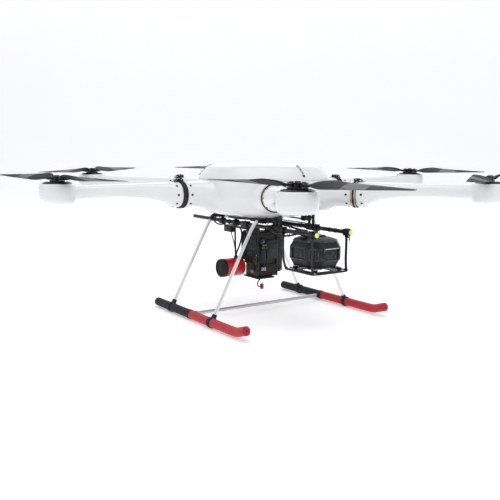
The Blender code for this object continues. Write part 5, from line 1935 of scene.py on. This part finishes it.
# radius, and distance from the drum's left or right end
DRUM_SHELL = [
    (0, 18), (35.2, 18), (35.8, 18.6), (35.8, 48), (35.1, 48.6), (35.1, 50.4), (35.8, 51),
]
DRUM_SHELL_RIGHT = [(35.8, -5), (35.2, -2.8), (33.8, -1.4), (31, -0.8), (0, -0.8)]
DRUM_FACE = [
    (0, 3), (15.6, 3), (16.4, 1), (18.6, 1), (19.4, 3.4), (22.8, 3.4), (23.6, 0.8), (26.2, 0.8),
    (27.0, 3.0), (30.0, 3.0), (30.8, 0.4), (32.6, 0), (34.8, 1.4), (35.7, 3.4), (35.8, 17.2),
    (34.8, 18.2), (0, 18.2),
]
DRUM_BOSS = [(0, 1), (7.8, 1), (8.4, 1.6), (12.6, 2.0), (12.6, 5), (0, 5)]
DRUM_FOOT = [(0, -2), (25, -2), (25.6, -1.4), (25.6, -0.6), (24, 0), (0, 0)]


def from_end(profile, end):
    return [(radius, end + z) for radius, z in profile]


part = Shape(RED, RUBBER, DARK_STEEL)
part.matrix = aim((0, DRUM_Y, DRUM_Z), (1, 0, 0))
part.lathe(from_end(DRUM_SHELL, DRUM_LEFT) + from_end(DRUM_SHELL_RIGHT, DRUM_RIGHT), 88)
part.use(RUBBER)
part.lathe(from_end(DRUM_FACE, DRUM_LEFT), 88)
part.lathe(from_end(DRUM_BOSS, DRUM_LEFT), 48)
part.use(DARK_STEEL)
part.lathe(from_end(DRUM_FOOT, DRUM_RIGHT), 64)
part.matrix = ORIGIN
for k in range(6):
    y, z = polar(21.1, 60 * k + 15)
    part.bolt((DRUM_LEFT + 3.2, DRUM_Y + y, DRUM_Z + z), (-1, 0, 0), 1.3, 0.8, 10)
part.add("drum_body", "rear_payload", replaces="signal_drum", slot="red_plastic")

# a short lead under the block, with a red plug
part = Shape(CABLE, PLUG, YELLOW)
part.wire(
    [(-34, -34, -241.4), (-37, -34, -245), (-43, -34, -251), (-46, -33, -262), (-40, -32, -271),
     (-27, -31, -273)],
    2.3, 14, 8,
)
part.use(PLUG)
part.box((-29, -37, -283), (-18, -25, -264), 2.0, 3)
part.box((-28, -36, -266), (-19, -26, -261.6), 1.0)
part.use(YELLOW)
for x in (-26, -21.5):
    part.lathe([(0, 0), (1.5, 0), (1.5, 1.4), (0, 1.4)], 14, at=shift(x, -31, -283.4))
part.add("lead_and_plug", "rear_payload", replaces="pigtail", slot="red_plastic")

# ---------------------------------------------------------------- cables of the rear payload
# radius, segments, points
PAYLOAD_WIRES = [
    # down to the drum
    (3.6, 14, [(-76, 80, -48), (-77, 77, -70), (-79, 73, -100), (-81, 69, -130),
               (-82, 65.5, -161)]),
    (2.0, 12, [(-72, 112, -69), (-74, 106, -80), (-78, 92, -94), (-80, 80, -112),
               (-81, 71, -138), (-82, 66, -160)]),
    (3.3, 14, [(-64, 66, -48), (-60, 58, -64), (-61, 56, -90), (-69, 60, -122),
               (-78, 63, -146), (-82, 64, -161)]),
    (2.6, 12, [(-54, 37, -168), (-64, 44, -167), (-72, 53, -163.8), (-81, 61, -162)]),
    # down the left cheek
    (1.8, 12, [(LEFT - 4, 14, -60), (LEFT - 12, 22, -72), (LEFT - 13, 28, -100),
               (LEFT - 10, 26, -140), (LEFT - 8, 20, -182)]),
    (1.4, 10, [(LEFT - 4, -6, -60), (LEFT - 10, -10, -74), (LEFT - 11, -12, -110),
               (LEFT - 9, -10, -150), (LEFT - 7, -8, -168)]),
    # down the front
    (1.5, 10, [(LEFT + 16, FRONT - 9, -121), (LEFT + 15, FRONT - 14, -136),
               (LEFT + 18, FRONT - 14, -156), (LEFT + 22, FRONT - 10, -178),
               (LEFT + 22, FRONT - 8, -192)]),
    (1.5, 10, [(LEFT + 29, FRONT - 9, -121), (LEFT + 31, FRONT - 15, -134),
               (LEFT + 36, FRONT - 12, -160), (LEFT + 34, FRONT - 9, -182),
               (LEFT + 30, FRONT - 8, -193)]),
    # from the finned unit up over the front
    (1.8, 10, [(RIGHT + 4, FRONT + 6, -74), (RIGHT + 2, FRONT - 2, -66),
               (RIGHT - 12, FRONT - 6, -60), (RIGHT - 26, FRONT - 4, -54),
               (RIGHT - 34, FRONT + 8, -50)]),
]
part = Shape(CABLE, CABLE_RED, RUBBER)
for radius, segments, line in PAYLOAD_WIRES:
    part.wire(line, radius, segments)
part.use(CABLE_RED)
part.wire(
    [(LEFT + 46, BACK + 1, -70), (LEFT + 45, BACK + 8, -90), (LEFT + 46, BACK + 8, -130),
     (LEFT + 44, BACK + 6, -170), (LEFT + 34, BACK + 1, -196)],
    1.7, 10,
)
part.use(RUBBER)  # the boot where the cables enter the drum, and two ties
part.lathe(
    [(0, -2), (8.4, -2), (8.4, 2), (7.6, 3), (6.4, 6), (5.6, 9), (0, 9)],
    28, closed=False, at=aim((-82, 64, -167.6), (0, 0.05, 1)),
)
for z in (-104, -140):
    part.box((LEFT - 15, 22, z - 2), (LEFT - 5, 32, z + 2), 0.8)
part.add("payload_cables", "rear_payload")

# ---------------------------------------------------------------- cables along the rails
# radius, segments, points with x from the left or right rail's axis
LEFT_WIRES = [
    (3.0, 14, [(-8, 226, -24), (-10, 216, -34), (-10, 200, -42.5), (-9, 184, -46),
               (-8, 164, -45.5), (-7, 151, -42.5), (-3, 141, -39.5)]),
    (1.5, 10, [(-8.4, 124, -34), (-9.6, 100, -38), (-10, 84, -38.5), (-13, 72, -38),
               (-10, 58, -36), (-8.4, 46, -33)]),
    (1.8, 12, [(4, 230, -20.5), (10, 190, -16), (12, 168, -15.6), (10, 130, -15.8),
               (12, 72, -15.4), (14, 36, -14.8), (24, 6, -14.2), (36, -10, -12.8)]),
]
RIGHT_WIRES = [
    (1.8, 12, [(-4, 214, -20.5), (-11, 168, -15.6), (-10, 120, -15.6), (-12, 72, -15.4),
               (-18, 36, -14.6), (-32, 2, -12.8)]),
]
part = Shape(CABLE, RUBBER, RUBBER)
for rail_x, wires in ((-RAIL_X, LEFT_WIRES), (RAIL_X, RIGHT_WIRES)):
    for radius, segments, line in wires:
        part.wire([(rail_x + x, y, z) for x, y, z in line], radius, segments)
part.use(RUBBER)
for y in (222, 190, 150, 118, 52, -142, -172):
    for side in (-1, 1):
        at = aim((side * RAIL_X, y, RAIL_Z), (0, 1, 0))
        part.lathe(collar(7.52, 9.3, 1.3, 0.3, 0.4), 28, at=at)
part.slot = 2  # end plugs in the rails' open rear ends, in the second rubber slot
for side in (-1, 1):
    part.lathe(
        [(0, 0), (6.1, 0), (6.1, 5.4), (5.2, 6.2), (0, 6.4)],
        28, closed=False, at=aim((side * RAIL_X, RAIL_REAR - 6, RAIL_Z), (0, 1, 0)),
    )
part.add("rail_cables", "airframe")

# ================================================================ inside the fuselage
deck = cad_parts["avionics_deck"].data
deck.materials.clear()
deck.materials.append(CARBON)

# flight controller with a ribbed lid and rows of connectors
part = Shape(BLACK, MID_GREY, DARK_STEEL)
part.box((-34, -140, 59.4), (34, -78, 80), 3.0, 3)
part.box((-28, -134, 79), (28, -84, 84), 2.0, 3)
for k in range(9):
    x = -24 + 6 * k
    part.box((x - 1, -130, 82.6), (x + 1, -88, 84.0), 0.4, 1)
part.use(MID_GREY)
for k in range(6):
    x = -31 + 10.6 * k
    part.box((x, -141.2, 62), (x + 7.5, -138, 69), 0.6)
    part.box((x, -80, 62), (x + 7.5, -76.8, 69), 0.6)
part.use(DARK_STEEL)
seats = [(x, y, 80) for x in (-30.5, 30.5) for y in (-136.5, -81.5)]
part.bolts(seats, (0, 0, 1), 1.8, 1.4, 12)
part.add("controller_box", "airframe", replaces="flight_controller", slot="black_plastic")

# two batteries side by side, each with two straps, two red leads and a yellow connector
part = Shape(WRAP, TAPE, CABLE_RED, YELLOW)
for side in (-1, 1):
    low, high = sorted((side * 1.5, side * 89.5))
    part.use(WRAP)
    part.box((low, -64, 59.6), (high, 90, 127), 5.0, 4)
    part.use(TAPE)
    for y in (-30, 56):
        part.box((low - 0.8, y - 9, 59.8), (high + 0.8, y + 9, 128.4), 5.2, 3)
    part.use(CABLE_RED)
    for k in (-1, 1):
        part.wire(
            [(side * 45 + k * 6, -62, 116), (side * 45 + k * 7, -72, 121),
             (side * 38 + k * 6, -82, 112), (side * 34 + k * 5, -84, 96),
             (side * 40 + k * 4, -78, 84)],
            3.0, 12,
        )
    part.use(YELLOW)
    part.box((side * 40 - 9, -84, 66), (side * 40 + 9, -68, 84), 2.0, 3)
part.add("battery_bricks", "airframe", replaces="battery_pack", slot="battery_wrap")

# three leads into each arm, from a finned block on the deck
part = Shape(CABLE, CABLE_RED, ALLOY)
for _, angle, _, _ in ARMS:
    part.matrix = turn(angle)
    for j, material in ((-1, CABLE), (0, CABLE_RED), (1, CABLE)):
        part.use(material)
        part.wire(
            [(150 + 3 * j, 9 * j, 62), (176, 9 * j, 70), (205, 8 * j, 92), (240, 7 * j, 96),
             (290, 6 * j, 92), (352, 6 * j, 92)],
            2.2, 10,
        )
    part.use(ALLOY)
    part.box((118, -17, 59.4), (158, 17, 67), 1.5)
    for j in range(7):
        part.box((122 + 5 * j, -15, 66.4), (124 + 5 * j, 15, 71), 0.4, 1)
part.add("motor_leads", "airframe")

# ================================================================ floor, light, camera, in metres
FLOOR_Z = -0.3738
CAMERA_AT = (-1.5663495, -2.1204817, 0.2562620)


def stage_mesh():
    """A floor that curves up into a backdrop behind the drone, like a paper roll."""
    curve_start, curve_r, half_width = 6.0, 3.0, 14.0
    profile = [(-9.0, 0.0)] + [(0.5 * i, 0.0) for i in range(13)]
    for i in range(1, 17):
        across, up = polar(curve_r, 90 * i / 16)
        profile.append((curve_start + up, curve_r - across))
    profile.append((9.0, 12.0))
    points = [(x, y, z) for x, z in profile for y in (-half_width, half_width)]
    faces = [(2 * k, 2 * k + 2, 2 * k + 3, 2 * k + 1) for k in range(len(profile) - 1)]
    mesh = bpy.data.meshes.new("backdrop")
    mesh.from_pydata(points, [], faces)
    mesh.polygons.foreach_set("use_smooth", [True] * len(mesh.polygons))
    return mesh


def paper_material():
    """White paper that glows a little, so that it stays bright at its edges."""
    paint = Paint(
        "paper", Specular_IOR_Level=0.2, Roughness=0.75, Emission_Color=(1.0, 1.0, 1.0, 1.0),
        Emission_Strength=0.3,
    )
    color = paint.ramp(paint.noise(scale=1.2), (0.90, 0.90, 0.905), (0.92, 0.92, 0.922))
    paint.set(Base_Color=color)
    paint.bump(paint.noise(scale=60.0), strength=0.02, distance=0.001)
    return paint.material


PAPER = paper_material()
floor = bpy.data.objects.new("studio_floor", stage_mesh())
bpy.context.scene.collection.objects.link(floor)
floor.data.materials.append(PAPER)
view_yaw = math.atan2(-CAMERA_AT[1], -CAMERA_AT[0])
floor.matrix_world = shift(0, 0, FLOOR_Z) @ Matrix.Rotation(view_yaw, 4, "Z")

# the world lights softly, but what the camera sees of it directly is white
world = bpy.data.worlds.new("studio")
bpy.context.scene.world = world
world.use_nodes = True
nodes, links = world.node_tree.nodes, world.node_tree.links
ambient, seen = nodes["Background"], nodes.new("ShaderNodeBackground")
for background, color, strength in (
    (ambient, (0.97, 0.985, 1.0, 1.0), 0.6), (seen, (1.0, 1.0, 1.0, 1.0), 1.0)
):
    background.inputs["Color"].default_value = color
    background.inputs["Strength"].default_value = strength
light_path = nodes.new("ShaderNodeLightPath")
blend = nodes.new("ShaderNodeMixShader")
links.new(light_path.outputs["Is Camera Ray"], blend.inputs[0])
links.new(ambient.outputs[0], blend.inputs[1])
links.new(seen.outputs[0], blend.inputs[2])
links.new(blend.outputs[0], nodes["World Output"].inputs["Surface"])

# name, place, size, watts; each one faces the origin
SOFTBOXES = [
    ("top_softbox", (-0.4, -0.6, 3.6), (4.0, 4.0), 62.0),
    ("left_softbox", (-4.2, 0.4, 1.6), (2.6, 2.2), 14.0),
    ("front_softbox", (1.2, -4.2, 1.4), (2.6, 2.0), 14.0),
    ("back_softbox", (2.6, 3.4, 2.4), (3.0, 2.0), 30.0),
]
for name, place, (width, height), power in SOFTBOXES:
    light = bpy.data.lights.new(name, "AREA")
    light.shape, light.size, light.size_y, light.energy = "RECTANGLE", width, height, power
    obj = bpy.data.objects.new(name, light)
    bpy.context.scene.collection.objects.link(obj)
    obj.location = place
    obj.rotation_euler = (-Vector(place)).to_track_quat("-Z", "Y").to_euler()

right = Vector((0.8378826, -0.5458452, 0.0023676))
up = Vector((0.0771076, 0.1226532, 0.9894496))
camera = bpy.data.cameras.new("camera")
camera_obj = bpy.data.objects.new("camera", camera)
bpy.context.scene.collection.objects.link(camera_obj)
matrix = Matrix((right, up, right.cross(up))).transposed().to_4x4()
matrix.translation = Vector(CAMERA_AT)
camera_obj.matrix_world = matrix
camera.sensor_width = 36.0
camera.lens = 48.848
camera.shift_x, camera.shift_y = 0.05384, -0.00382
camera.clip_start, camera.clip_end = 0.01, 60.0
bpy.context.scene.camera = camera_obj
bpy.context.scene.view_settings.view_transform = "Standard"
bpy.context.scene.view_settings.look = "None"

# the meshes that only served as boolean tools
for mesh in list(bpy.data.meshes):
    if mesh.users == 0:
        bpy.data.meshes.remove(mesh)
